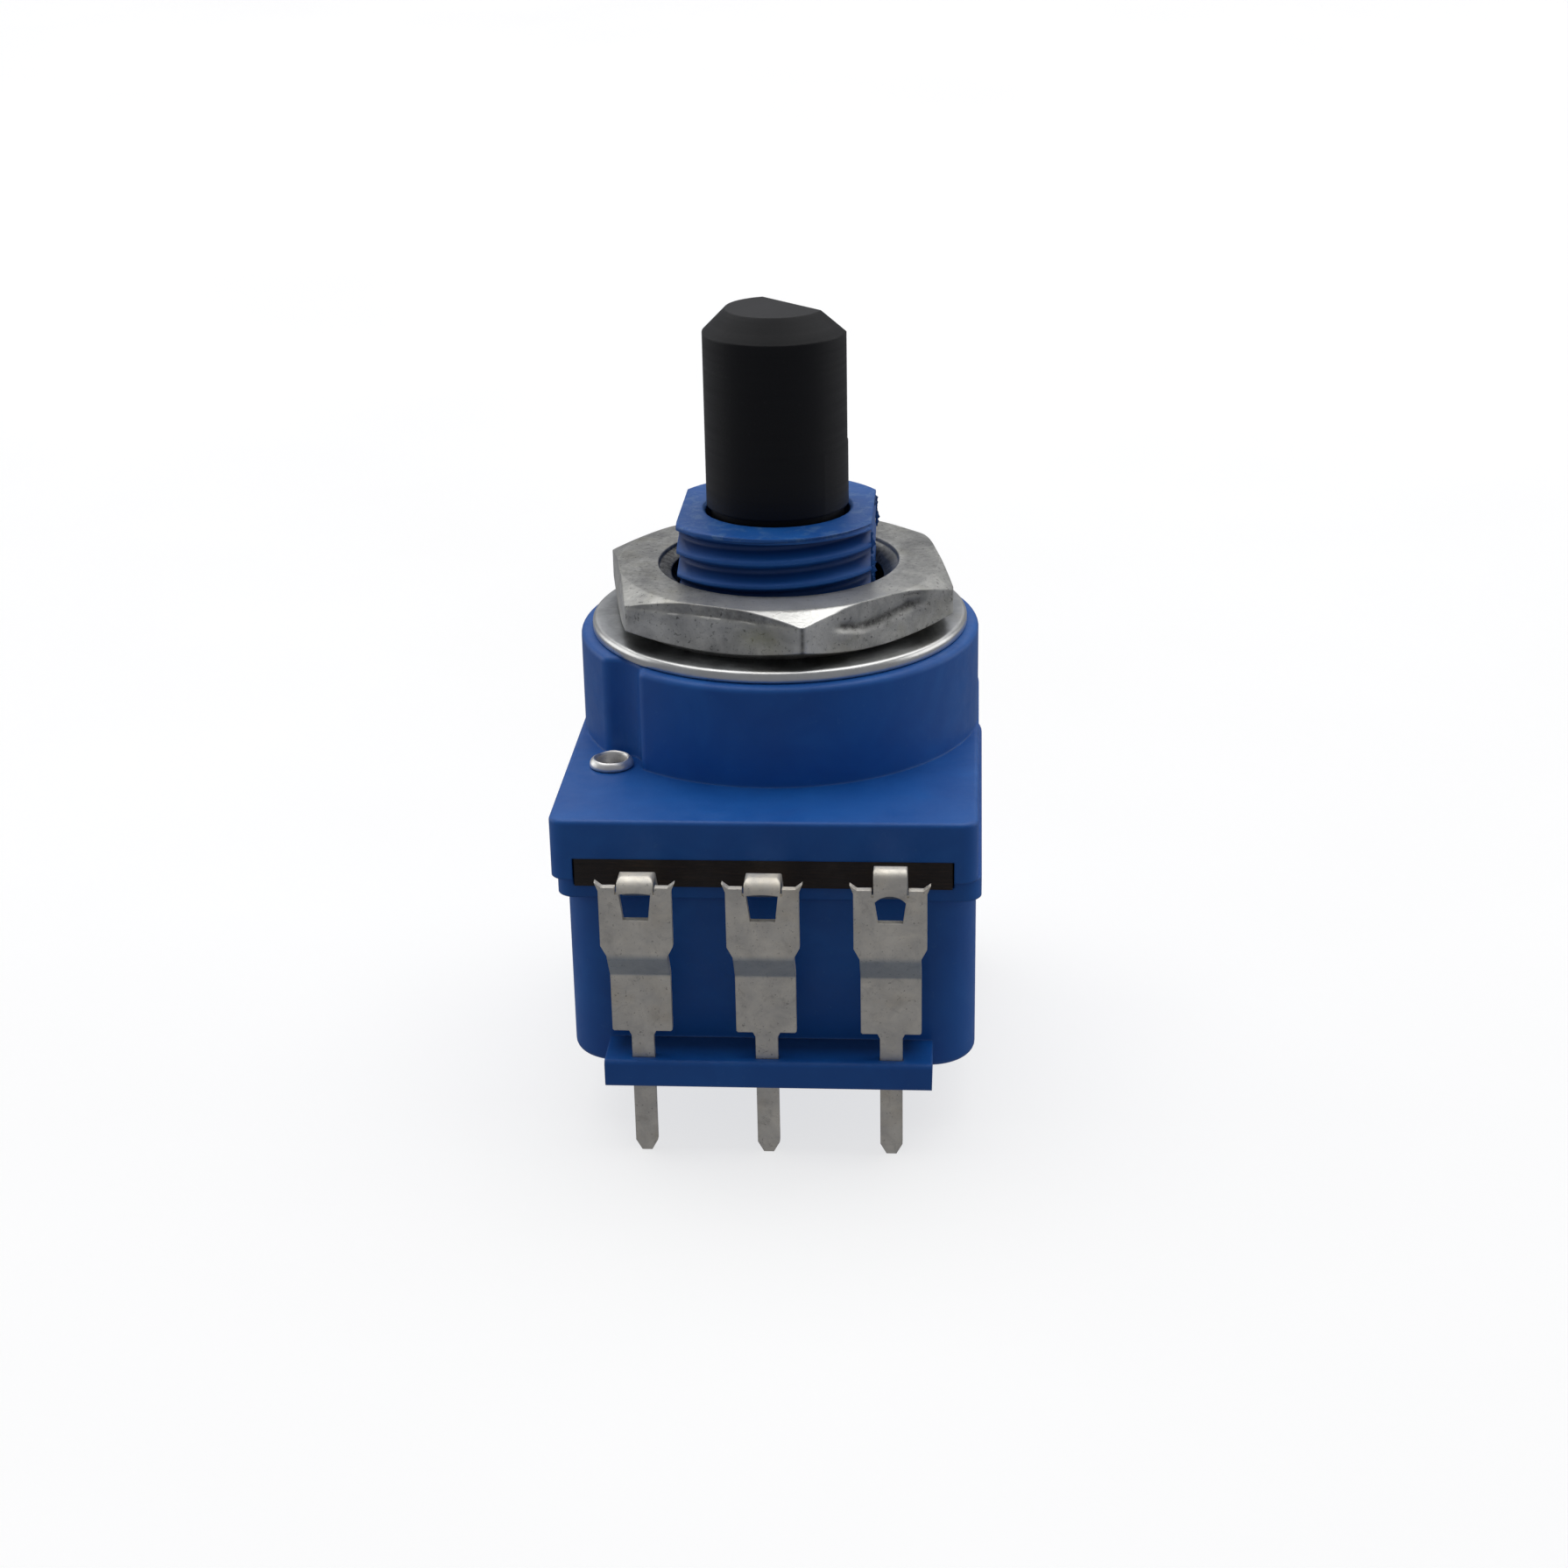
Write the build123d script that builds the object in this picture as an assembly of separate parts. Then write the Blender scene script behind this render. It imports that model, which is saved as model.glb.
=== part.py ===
from build123d import *
from build123d.topology import SkipClean
from math import cos, radians, sin
import os

# Rotary potentiometer with a push-push switch, for a circuit board, held by its threaded bushing.
# Millimetres. +Z runs up the shaft, -Y is the side with the three track terminals.
# Origin: on the shaft's axis, at the collar's top face, which bears on the back of a panel.

# ---- driving dimensions ---------------------------------------------------------------------

# Clearances
running_gap = 0.06          # radial gap of the shaft in its bore, and of sliding keys
free_gap = 0.1              # rotor, slider and loose parts to the walls round them
touch_gap = 0.03            # between pieces that touch but belong to different bodies
fit_gap = 0.02              # pins and wires in the holes that hold them
over = 1.0                  # how far a cut runs past the face it opens
bond = 0.1                  # how deep two forms of one moulding run into each other

# Shaft
shaft_diameter = 6.0        # knob end
bearing_step = 0.2          # the part that turns in the bushing is smaller by this all round
bearing_stand_off = 0.2     # the knob end's lower rim above the bushing
shaft_length = 13.55        # above the mounting face
shaft_chamfer = 0.95        # lead-in round the tip, along the flat's edge too
flat_across = 4.9           # from the flat to the opposite side
flat_length = 5.65
shoulder_step = 1.1         # shoulder beyond the bearing part
shoulder_thickness = 0.95
drive_step = 0.1            # drive inside the bearing part
drive_flat_depth = 0.5      # cut from each side for the two drive flats
nose_diameter = 4.0
nose_length = 0.7
push_travel = 1.9
rest_angle = -45.0          # turn from mid travel, clockwise seen from above

# Bushing
thread_diameter = 9.8
thread_depth = 0.55
thread_pitch = 1.0
thread_foot = 0.96          # width of the ridge at its foot, as a share of the pitch
thread_crest = 0.14
thread_turn = -115          # turns the thread's start, which sets its height at the front, degrees
bushing_flat_depth = 0.85   # cut from each side for the two flats
bushing_length = 5.1
rim_height = 0.22           # plain rim above the last thread turn
rim_chamfer = 0.2
mouth_chamfer = 0.12

# Nut and washer
nut_across_flats = 13.7
nut_thickness = 2.25
nut_turn = -79.3            # direction of one corner
nut_face = 0.97             # flat circle of each face, as a share of the size across flats
nut_chamfer_angle = 20.0
nut_bore_gap = 0.05
nut_countersink = 0.3
washer_rim = 0.09           # washer beyond the nut's corners
washer_play = 0.2           # radial, round the thread
washer_thickness = 0.5
washer_edge = 0.14

# Upper housing
collar_inset = 0.05         # collar inside the flange's sides
collar_wall = 1.4
collar_height = 4.28
collar_edge = 0.25
flute_round = 0.55          # rounding of the flute's two upright edges
flange_width = 17.1
flange_front = 12.12        # from the shaft's axis to the front face
flange_thickness = 2.55
flange_front_radius = 0.7
flange_back_radius = 4.0
flange_edge = 0.18
roof_thickness = 1.5
cavity_step = 0.9           # lug's cavity inside the rotor's
stop_block_angle = 17.5     # half of the stop block, seen from the axis
stop_block_play = 0.6       # radial, to the shaft's shoulder

# Track board
board_thickness = 1.2
board_wall = 1.0            # flange beside the board
board_top_depth = 1.63      # below the flange's top face
board_inset = 0.06          # front edge behind the flange's front face
board_hole_play = 0.5       # radial, round the drive
board_play = 0.06
track_thickness = 0.04
track_inset = 0.6           # carbon inside the rotor's cavity
track_width = 1.3
track_half_angle = 158.0
lead_angle = 28.0           # where the leads meet the track, from its open side
collector_inset = 0.3       # collector outside the board's hole
collector_width = 0.7
lead_width = 1.7

# Rotor and wiper
rotor_thickness = 0.8
rotor_rim_gap = 0.15
lug_gap = 0.3               # to the cavity's wall
lug_depth = 1.2             # radial
lug_height = 1.6
lug_angle = 12.0            # half of the stop lug
wiper_thickness = 0.15
wiper_bore_play = 0.5       # radial, round the drive
finger_width = 0.9
finger_root = 2.6           # from the middle of the shoe's line back to the bend
finger_drop_end = 0.55
finger_shoe = 0.45          # flat shoe ahead of that line
finger_window = 1.2         # open ring ahead of that line

# Lower housing
lower_shift = 0.18          # the switch box and all that it guides sit this far to the right
lower_inset = 0.25          # inside the flange's sides and back
lower_front_inset = 0.42
lower_height = 8.45
lower_front_radius = 1.9
lip_front_radius = 0.76
lower_back_radius = 4.0
lower_edge = 0.35
lower_wall = 1.4
lower_floor = 1.2
lip_height = 0.85
lip_out = 0.22
ledge_inset = 1.7           # inside each side of the box
ledge_depth = 2.2
ledge_root = 0.5            # runs this far into the front wall
ledge_thickness = 1.2
ledge_lift = 0.07           # above the box's bottom
ledge_edge = 0.2

# Case rivets
rivet_side_inset = 1.89     # from the flange's side
rivet_back_inset = 2.3      # the rear one from the collar's back; the front one is diagonal to it
rivet_tube = 1.3
rivet_roll = 0.8            # rounding of the head's rim, as a share of its height
rivet_foot = 0.3            # flare below the box
rivet_bore = 0.95
rivet_head = 1.85
rivet_head_height = 0.4
flute_diameter = 2.6        # room for the riveting tool in the collar's side
post_diameter = 3.2

# Track terminals
terminal_pitch = 5.0
terminal_shift = 0.14       # the middle one sits this far to the right
terminal_sheet = 0.3
terminal_bend = 0.35        # radius of the Z-bend, in the middle of the sheet
plate_width = 2.88
plate_stand_off = 2.18      # front face of the upper plate before the flange
plate_top_depth = 1.88      # all depths below the flange's top face
plate_bottom_depth = 4.4
jog_top_depth = 4.85
jog_bottom_depth = 6.0
jog_back = 0.8
lower_plate_width = 2.42
shoulder_depth = 8.55
shoulder_round = 0.06       # burnished corners above the pin
shoulder_fillet = 0.2
pin_width = 0.9
pin_tip_depth = 14.0
pin_taper = 0.45
pin_point = 0.45            # width of the tip, as a share of the pin's
spur_out = 0.14             # sheared corners of the plate stand out and up
spur_up = 0.22
spur_width = 0.28
hole_top_depth = 2.12
hole_bottom_depth = 3.28
hole_width = 1.25           # at its top
hole_taper = 0.13           # each side's lean towards the bottom
hole_arch = 0.3             # rise of the top, in the right-hand terminal
hole_crown = 0.05           # and in the other two
neck_slit = 0.07            # cut between the neck and the plate's shoulders
neck_width = 1.43
low_neck = (neck_width, 1.58, 0.8, 0.2)   # width, crest depth, loop's depth, corner rounding
tall_neck = (1.31, 1.1, 0.5, 0.08)        # of the right-hand terminal
neck_lead = 0.3             # level strip before the board's edge
neck_root = 0.35            # runs down this far behind the plate
pad_start = 1.9             # from the board's front edge
pad_length = 2.0
pad_width = 2.0
eyelet_shank = 1.1
eyelet_head = 1.8
eyelet_foot = 1.62
eyelet_height = 0.22
eyelet_bore = 0.6
eyelet_back = 2.9           # from the board's front edge

# Guide well, slider, spring and latch
slider_width = 7.2
slider_back_room = 3.1      # the slider's depth is the box's back reach less this
slider_height = 2.95
well_wall = 1.0
well_top_gap = 0.85         # well above the slider's top
latch_window = 1.5          # half of the opening beside the latch wire
latch_window_drop = 0.6     # below the wire's tip
contact_window_drop = 0.5   # below the bridge at the end of its travel
slider_corner = 0.3
spring_pocket = 3.9
spring_pocket_depth = 1.45
spring_diameter = 2.9
spring_wire = 0.3
spring_turns = 4
boss_diameter = 2.2
boss_height = 0.6
latch_wire = 0.45
latch_reach = 2.0           # from the wire's pivot to its tip
latch_swing = 0.5           # sideways travel of the tip
latch_pivot_height = 0.5    # above the floor
latch_side = 0.55           # pivot beside the middle of the slider
latch_bend = 0.35
latch_pivot_depth = 0.2     # into the well's wall
groove_width = 0.62
groove_depth = 0.9
notch_reach = 1.0           # sideways from the down-stroke lane to the return lane
notch_drop = 0.5            # rest notch below the groove's top

# Switch contacts
blade_width = 3.0
blade_sheet = 0.4
blade_spacing = 5.0
blade_inset = 2.1           # rear face of the blades before the box's back
blade_top_height = 4.6      # above the floor
blade_seat = 0.6            # sunk into the floor
button_diameter = 1.6
button_thickness = 0.5
button_height = 2.5         # centre, above the floor
bridge_sheet = 0.3
bridge_width = 6.6
bridge_height = 1.0
bridge_drop = 0.45          # below the slider's top
bridge_stem_inset = 1.1     # tongue's sides from the middles of the two pads
bridge_tongue = 0.75        # into the slider's back
pad_diameter = 1.1
pad_thickness = 0.5

# ---- places that follow from them -----------------------------------------------------------

bearing_diameter = shaft_diameter - 2 * bearing_step
shoulder_diameter = bearing_diameter + 2 * shoulder_step
drive_diameter = bearing_diameter - 2 * drive_step
drive_across = drive_diameter - 2 * drive_flat_depth
thread_root_diameter = thread_diameter - 2 * thread_depth
thread_across_flats = thread_diameter - 2 * bushing_flat_depth
nut_across_corners = nut_across_flats / cos(radians(30))
washer_diameter = nut_across_corners + 2 * washer_rim
washer_bore = thread_diameter + 2 * washer_play
collar_diameter = flange_width - 2 * collar_inset
flange_back = flange_width / 2
rotor_cavity_diameter = collar_diameter - 2 * collar_wall
lug_cavity_diameter = rotor_cavity_diameter - 2 * cavity_step
stop_block_inner = shoulder_diameter + 2 * stop_block_play
lug_outer = lug_cavity_diameter - 2 * lug_gap
lug_inner = lug_outer - 2 * lug_depth
board_width = flange_width - 2 * board_wall
board_hole = drive_diameter + 2 * board_hole_play
carbon_outer = rotor_cavity_diameter - 2 * track_inset
carbon_inner = carbon_outer - 2 * track_width
track_middle = (carbon_inner + carbon_outer) / 4
lead_meet_x = track_middle * sin(radians(lead_angle))
lead_meet_y = -track_middle * cos(radians(lead_angle))
collector_inner = board_hole + 2 * collector_inset
collector_outer = collector_inner + 2 * collector_width
lower_width = flange_width - 2 * lower_inset
lower_front = flange_front - lower_front_inset
lower_back = flange_back - lower_inset
ledge_width = lower_width - 2 * ledge_inset
rivet_x = flange_width / 2 - rivet_side_inset
rivet_y = collar_diameter / 2 - rivet_back_inset
plate_front = flange_front + plate_stand_off
slider_depth = lower_back - slider_back_room
blade_back = lower_back - blade_inset
flange_top = -collar_height
flange_bottom = flange_top - flange_thickness
board_top = flange_top - board_top_depth
board_bottom = board_top - board_thickness
board_front = -(flange_front - board_inset)
roof = -roof_thickness
knob_bottom = bushing_length + bearing_stand_off
recess_bottom = knob_bottom - push_travel - free_gap
shoulder_top = roof - touch_gap
shoulder_bottom = shoulder_top - shoulder_thickness
rotor_top = shoulder_bottom - push_travel - free_gap
rotor_bottom = rotor_top - rotor_thickness
rotor_step = rotor_top + free_gap
lower_top = flange_bottom
lower_bottom = lower_top - lower_height
floor = lower_bottom + lower_floor
slider_bottom = floor + push_travel + free_gap
slider_top = slider_bottom + slider_height
shaft_bottom = slider_top + touch_gap
plate_middle = plate_front - terminal_sheet / 2
pin_middle = plate_middle - jog_back
blade_middle = blade_back - blade_sheet / 2
button_face = blade_back - blade_sheet - button_thickness
pad_face = button_face - touch_gap
flap_back = pad_face - pad_thickness
well_inner_x = slider_width / 2 + free_gap
well_inner_y = slider_depth / 2 + free_gap
well_outer_x = well_inner_x + well_wall
well_outer_y = well_inner_y + well_wall
well_top = slider_top + well_top_gap
latch_pivot = floor + latch_pivot_height
latch_tip = latch_pivot + latch_reach
latch_leg = well_outer_x + latch_wire
UP = (Align.CENTER, Align.CENTER, Align.MIN)


# ---- shared forms ---------------------------------------------------------------------------

def pillar(diameter, low, high, x=0.0, y=0.0):
    """Upright cylinder between two heights."""
    return Pos(x, y, low) * Cylinder(diameter / 2, high - low, align=UP)


def block(x_span, y_span, z_span):
    """Box between two values on each axis."""
    size = [span[1] - span[0] for span in (x_span, y_span, z_span)]
    middle = [(span[1] + span[0]) / 2 for span in (x_span, y_span, z_span)]
    return Pos(*middle) * Box(*size)


def sector(inner, outer, low, high, middle_angle, half_angle):
    """Part of a ring between two diameters, spread to both sides of an angle."""
    steps = [middle_angle - half_angle, middle_angle, middle_angle + half_angle]
    rim = [(outer / 2 * cos(radians(a)), outer / 2 * sin(radians(a))) for a in steps]
    core = [(inner / 2 * cos(radians(a)), inner / 2 * sin(radians(a))) for a in steps]
    outline = [
        ThreePointArc(rim[0], rim[1], rim[2]),
        Line(rim[2], core[2]),
        ThreePointArc(core[2], core[1], core[0]),
        Line(core[0], rim[0]),
    ]
    return Pos(0, 0, low) * extrude(make_face(outline), high - low)


def case_plan(width, front, back, front_radius, back_radius, shift=0.0):
    """Four-sided plan of the case, with its own corner radii at the front and the back."""
    plan = Pos(shift, (back - front) / 2) * Rectangle(width, front + back)
    corners = plan.vertices().sort_by(Axis.Y)
    plan = fillet(corners[:2], front_radius)
    return fillet(plan.vertices().sort_by(Axis.Y)[-2:], back_radius)


def board_plan(grow=0.0):
    """The board: straight sides to the front, a half circle round the shaft at the back."""
    half = board_width / 2 + grow
    front = board_front - grow
    outline = [
        Line((half, 0), (half, front)),
        Line((half, front), (-half, front)),
        Line((-half, front), (-half, 0)),
        ThreePointArc((-half, 0), (0, half), (half, 0)),
    ]
    return make_face(outline)


def case_rivet_spots():
    """Front and rear rivet, on one diagonal."""
    return {"front": (-rivet_x, -rivet_y), "rear": (rivet_x, rivet_y)}


def terminal_spots():
    """Middle of each track terminal, from left to right."""
    sides = {"left": -1, "centre": 0, "right": 1}
    return {name: terminal_shift + side * terminal_pitch for name, side in sides.items()}


# ---- upper housing --------------------------------------------------------------------------

def thread_ridge():
    """One helical ridge on the bushing's core, cut level at both ends."""
    core = thread_root_diameter / 2
    depth = thread_depth
    path = Helix(pitch=thread_pitch, height=bushing_length + 2 * thread_pitch, radius=core)
    start = Plane(origin=path @ 0, x_dir=(path @ 0).normalized(), z_dir=path % 0)
    foot_half = thread_foot * thread_pitch / 2
    crest_half = thread_crest * thread_pitch / 2
    profile = Polyline(
        (-bond, -foot_half), (depth, -crest_half), (depth, crest_half), (-bond, foot_half), close=True
    )
    ridge = sweep(start * make_face(profile), path=path, is_frenet=True)
    ridge = Pos(0, 0, -thread_pitch) * Rot(0, 0, thread_turn) * ridge
    return ridge & pillar(2 * thread_diameter, 0, bushing_length)


def bushing():
    """Threaded tube with two opposite flats and a plain rim; its bore is cut later."""
    flats = block(
        (-thread_across_flats / 2, thread_across_flats / 2),
        (-thread_diameter, thread_diameter),
        (0, bushing_length),
    )
    rim = pillar(thread_diameter, bushing_length - rim_height, bushing_length)
    rim = chamfer(rim.edges().group_by(Axis.Z)[-1], rim_chamfer)
    body = (pillar(thread_root_diameter, 0, bushing_length) + rim) & flats
    body += thread_ridge() & flats
    return body + pillar(thread_root_diameter, flange_top, 0)


def collar():
    """Round collar with a soft-edged flute beside each rivet."""
    outline = Circle(collar_diameter / 2)
    for x, y in case_rivet_spots().values():
        outline -= Pos(x, y) * Circle(flute_diameter / 2)
    outline = fillet(outline.vertices(), flute_round)
    body = Pos(0, 0, flange_top) * extrude(outline, collar_height)
    return fillet(body.edges().group_by(Axis.Z)[-1], collar_edge)


def upper_housing():
    """Flange, collar and bushing in one moulding, hollow below for the rotor and the board."""
    plan = case_plan(flange_width, flange_front, flange_back, flange_front_radius, flange_back_radius)
    flange = Pos(0, 0, flange_bottom) * extrude(plan, flange_thickness)
    flange = fillet(flange.edges().group_by(Axis.Z)[-1], flange_edge)
    body = flange + collar() + bushing()
    mouth = pillar(shaft_diameter + 2 * running_gap, recess_bottom, bushing_length)
    wide = Circle(shaft_diameter / 2 + running_gap + mouth_chamfer)
    body -= mouth + Pos(0, 0, bushing_length) * extrude(wide, -mouth_chamfer, taper=45)
    body -= pillar(bearing_diameter + 2 * running_gap, roof, recess_bottom)
    body -= pillar(lug_cavity_diameter, rotor_step, roof)
    body -= pillar(rotor_cavity_diameter, board_top, rotor_step)
    body += sector(
        stop_block_inner, lug_cavity_diameter + bond, rotor_step, roof, 270, stop_block_angle
    )
    body -= Pos(0, 0, flange_bottom) * extrude(board_plan(board_play), board_top - flange_bottom)
    body -= front_slot()
    body -= eyelet_room()
    for x, y in case_rivet_spots().values():
        body -= pillar(rivet_tube + 2 * fit_gap, flange_bottom, flange_top, x, y)
    return body


def front_slot():
    """Opening in the flange's front face where the board's edge shows."""
    half = board_width / 2 + board_play
    return block(
        (-half, half), (-flange_front - over, board_front + over), (flange_bottom - over, board_top)
    )


def eyelet_room():
    """Recess over the heads of the terminal eyelets and the leads."""
    reach = terminal_pitch + eyelet_head
    back = board_front + eyelet_back
    return block(
        (terminal_shift - reach, terminal_shift + reach),
        (back - eyelet_head, lead_meet_y),
        (board_top, board_top + 2 * eyelet_height),
    )


# ---- shaft, rotor, wiper --------------------------------------------------------------------

def at_rest(shape):
    """Turn a piece from mid travel to where the shaft rests."""
    return Rot(0, 0, rest_angle) * shape


def two_flats(diameter, across, low, high):
    """Round bar with two opposite flats that face front and back."""
    bar = pillar(diameter, low, high)
    return bar & block((-diameter, diameter), (-across / 2, across / 2), (low, high))


def shaft():
    """Knob end with a flat, retaining shoulder, two-flat drive, and the nose that pushes the slider."""
    flat_bottom = shaft_length - flat_length
    flat_face = flat_across - shaft_diameter / 2
    body = pillar(bearing_diameter, shoulder_bottom, knob_bottom)
    body += pillar(shoulder_diameter, shoulder_bottom, shoulder_top)
    body += two_flats(drive_diameter, drive_across, shaft_bottom + nose_length, shoulder_bottom)
    nose = pillar(nose_diameter, shaft_bottom, shoulder_bottom)
    body += chamfer(nose.edges().group_by(Axis.Z)[0], nose_length / 2)
    tip = pillar(shaft_diameter, flat_bottom, shaft_length)
    tip = chamfer(tip.edges().group_by(Axis.Z)[-1], shaft_chamfer)
    beside = Polyline(
        (flat_face, flat_bottom),
        (flat_face, shaft_length - shaft_chamfer),
        (flat_face - shaft_chamfer, shaft_length),
        (flat_face - shaft_chamfer, shaft_length + over),
        (shaft_diameter, shaft_length + over),
        (shaft_diameter, flat_bottom),
        close=True,
    )
    side = Plane(origin=(0, 0, 0), x_dir=(0, 1, 0), z_dir=(1, 0, 0))
    tip -= extrude(side * make_face(beside), shaft_diameter, both=True)
    with SkipClean():       # the round length and the flatted length keep faces of their own
        body = body + pillar(shaft_diameter, knob_bottom, flat_bottom) + tip
    return at_rest(body)


def rotor():
    """Disc keyed to the shaft's drive flats, with the lug that meets the end stop."""
    disc = pillar(rotor_cavity_diameter - 2 * rotor_rim_gap, rotor_bottom, rotor_top)
    lug = sector(lug_inner, lug_outer, rotor_top - bond, rotor_top + lug_height, 90, lug_angle)
    key = two_flats(
        drive_diameter + 2 * running_gap, drive_across + 2 * running_gap, rotor_bottom - over, rotor_top + over
    )
    return at_rest(disc + lug - key)


def finger(radius, wiper_bottom, track_top):
    """Spring finger bent down from the wiper ring, ending in a flat shoe on its track."""
    profile = Polyline(
        (-finger_root, wiper_bottom),
        (-finger_drop_end, track_top),
        (finger_shoe, track_top),
        (finger_shoe, track_top + wiper_thickness),
        (-finger_drop_end, track_top + wiper_thickness),
        (-finger_root, wiper_bottom + wiper_thickness),
        close=True,
    )
    side = Plane(origin=(0, radius, 0), x_dir=(1, 0, 0), z_dir=(0, -1, 0))
    return extrude(side * make_face(profile), finger_width / 2, both=True)


def wiper():
    """Spring ring below the rotor with one finger on the carbon and one on the collector."""
    top = rotor_bottom
    bottom = top - wiper_thickness
    track_top = board_top + track_thickness + touch_gap
    collector_radius = (collector_inner + collector_outer) / 4
    ring = pillar(carbon_outer, bottom, top)
    ring -= pillar(drive_diameter + 2 * wiper_bore_play, bottom - over, top + over)
    inner_wall = collector_radius - finger_width / 2 - free_gap
    window = block(
        (-finger_root, finger_window), (inner_wall, carbon_outer), (bottom - over, top + over)
    )
    ring -= window
    fingers = finger(track_middle, bottom, track_top) + finger(collector_radius, bottom, track_top)
    return at_rest(ring + fingers)


# ---- track board ----------------------------------------------------------------------------

def track_board():
    """Phenolic board with the shaft hole, the rivet hole and the eyelet holes."""
    board = Pos(0, 0, board_bottom) * extrude(board_plan(), board_thickness)
    board -= pillar(board_hole, board_bottom - over, board_top + over)
    x, y = case_rivet_spots()["front"]
    board -= pillar(rivet_tube + 2 * fit_gap, board_bottom - over, board_top + over, x, y)
    y = board_front + eyelet_back
    for x in terminal_spots().values():
        board -= pillar(eyelet_shank, board_bottom - over, board_top + over, x, y)
    return board


def carbon_track():
    """Horseshoe of resistive ink, open at the front."""
    top = board_top + track_thickness
    return sector(carbon_inner, carbon_outer, board_top, top, 90, track_half_angle)


def collector_ring():
    """Silver ring that the wiper's inner finger runs on, with its lead to the centre terminal."""
    top = board_top + track_thickness
    ring = pillar(collector_outer, board_top, top)
    ring += lead(terminal_spots()["centre"], 0, -(collector_inner + collector_outer) / 4, top)
    return ring - pillar(collector_inner, board_top - over, top + over)


def lead(x_out, x_in, y_in, top):
    """Strip of silver ink from a terminal's eyelet to a point on a track."""
    y_out = board_front + eyelet_back
    half = lead_width / 2
    strip = make_face(
        Polyline(
            (x_out - half, y_out - half),
            (x_out + half, y_out - half),
            (x_in + half, y_in),
            (x_in - half, y_in),
            close=True,
        )
    )
    strip = Pos(0, 0, board_top) * extrude(strip, top - board_top)
    return strip - pillar(eyelet_shank, board_top - over, top + over, x_out, y_out)


def end_leads():
    """Silver from both ends of the carbon horseshoe to the outer terminals."""
    top = board_top + track_thickness
    spots = terminal_spots()
    track = pillar(carbon_outer, board_top - over, top + over)
    left = lead(spots["left"], -lead_meet_x, lead_meet_y, top) - track
    right = lead(spots["right"], lead_meet_x, lead_meet_y, top) - track
    return left + right


# ---- track terminals ------------------------------------------------------------------------

def sheet_strip(points, radius, width, x):
    """Sheet folded along points in the YZ plane, as wide as told, centred on x."""
    path = FilletPolyline(*points, radius=radius)
    side = Plane(origin=(x, 0, 0), x_dir=(0, 1, 0), z_dir=(1, 0, 0))
    return extrude(side * trace(path, terminal_sheet), width / 2, both=True)


def terminal_front(x, neck_width):
    """Front outline of the plates and the pin, as a thick slab to cut the folded sheet with."""
    plate = plate_width / 2
    lower = lower_plate_width / 2
    pin = pin_width / 2
    slit = neck_width / 2 + neck_slit
    tip = flange_top - pin_tip_depth
    shoulder = flange_top - shoulder_depth
    top = flange_top - plate_top_depth
    half_outline = [
        (slit, flange_top - hole_top_depth - neck_slit),
        (slit, top),
        (plate + spur_out - spur_width, top),
        (plate + spur_out, top + spur_up),
        (plate, top - spur_out),
        (plate, flange_top - plate_bottom_depth),
        (lower, flange_top - jog_top_depth),
        (lower, shoulder + shoulder_round),
        (lower - shoulder_round, shoulder),
        (pin + shoulder_fillet / 2, shoulder),
        (pin, shoulder - shoulder_fillet),
        (pin, tip + pin_taper),
        (pin * pin_point, tip),
    ]
    mirrored = [(-px, pz) for px, pz in reversed(half_outline)]
    front = Plane(origin=(x, 0, 0), x_dir=(1, 0, 0), z_dir=(0, -1, 0))
    face = make_face(Polyline(*half_outline, *mirrored, close=True))
    return extrude(front * face, plate_front + over)


def terminal_hole(x, arched):
    """Tapered hole right under the neck, with an arched or a straight top."""
    top = flange_top - hole_top_depth
    bottom = flange_top - hole_bottom_depth
    spring = top - (hole_arch if arched else hole_crown)
    wide = hole_width / 2
    narrow = wide - hole_taper
    front = Plane(origin=(x, 0, 0), x_dir=(1, 0, 0), z_dir=(0, -1, 0))
    outline = [
        Line((-narrow, bottom), (narrow, bottom)),
        Line((narrow, bottom), (wide, spring)),
        ThreePointArc((wide, spring), (0, top), (-wide, spring)),
        Line((-wide, spring), (-narrow, bottom)),
    ]
    return Pos(0, -plate_front + terminal_sheet, 0) * extrude(front * make_face(outline), 2 * over)


def terminal_neck(x, width, crest_depth, loop, rounding):
    """Narrow strip from the pad under the board, looped up before the board's edge, to the plate."""
    pad_height = board_bottom - terminal_sheet / 2
    pad_end = board_front + pad_start + pad_length
    crest = flange_top - crest_depth
    middle = crest - terminal_sheet / 2
    points = [
        (pad_end, pad_height),
        (board_front - neck_lead, pad_height),
        (-plate_middle + loop, middle),
        (-plate_middle, middle),
        (-plate_middle, flange_top - hole_top_depth - neck_root),
    ]
    strip = sheet_strip(points, loop / 2 - fit_gap, width, x)
    front = block((x - width / 2, x + width / 2), (-plate_front, pad_end), (board_bottom - over, crest))
    top_sides = front.edges().filter_by(Axis.Y).group_by(Axis.Z)[-1]
    return strip & fillet(top_sides, rounding)


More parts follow.
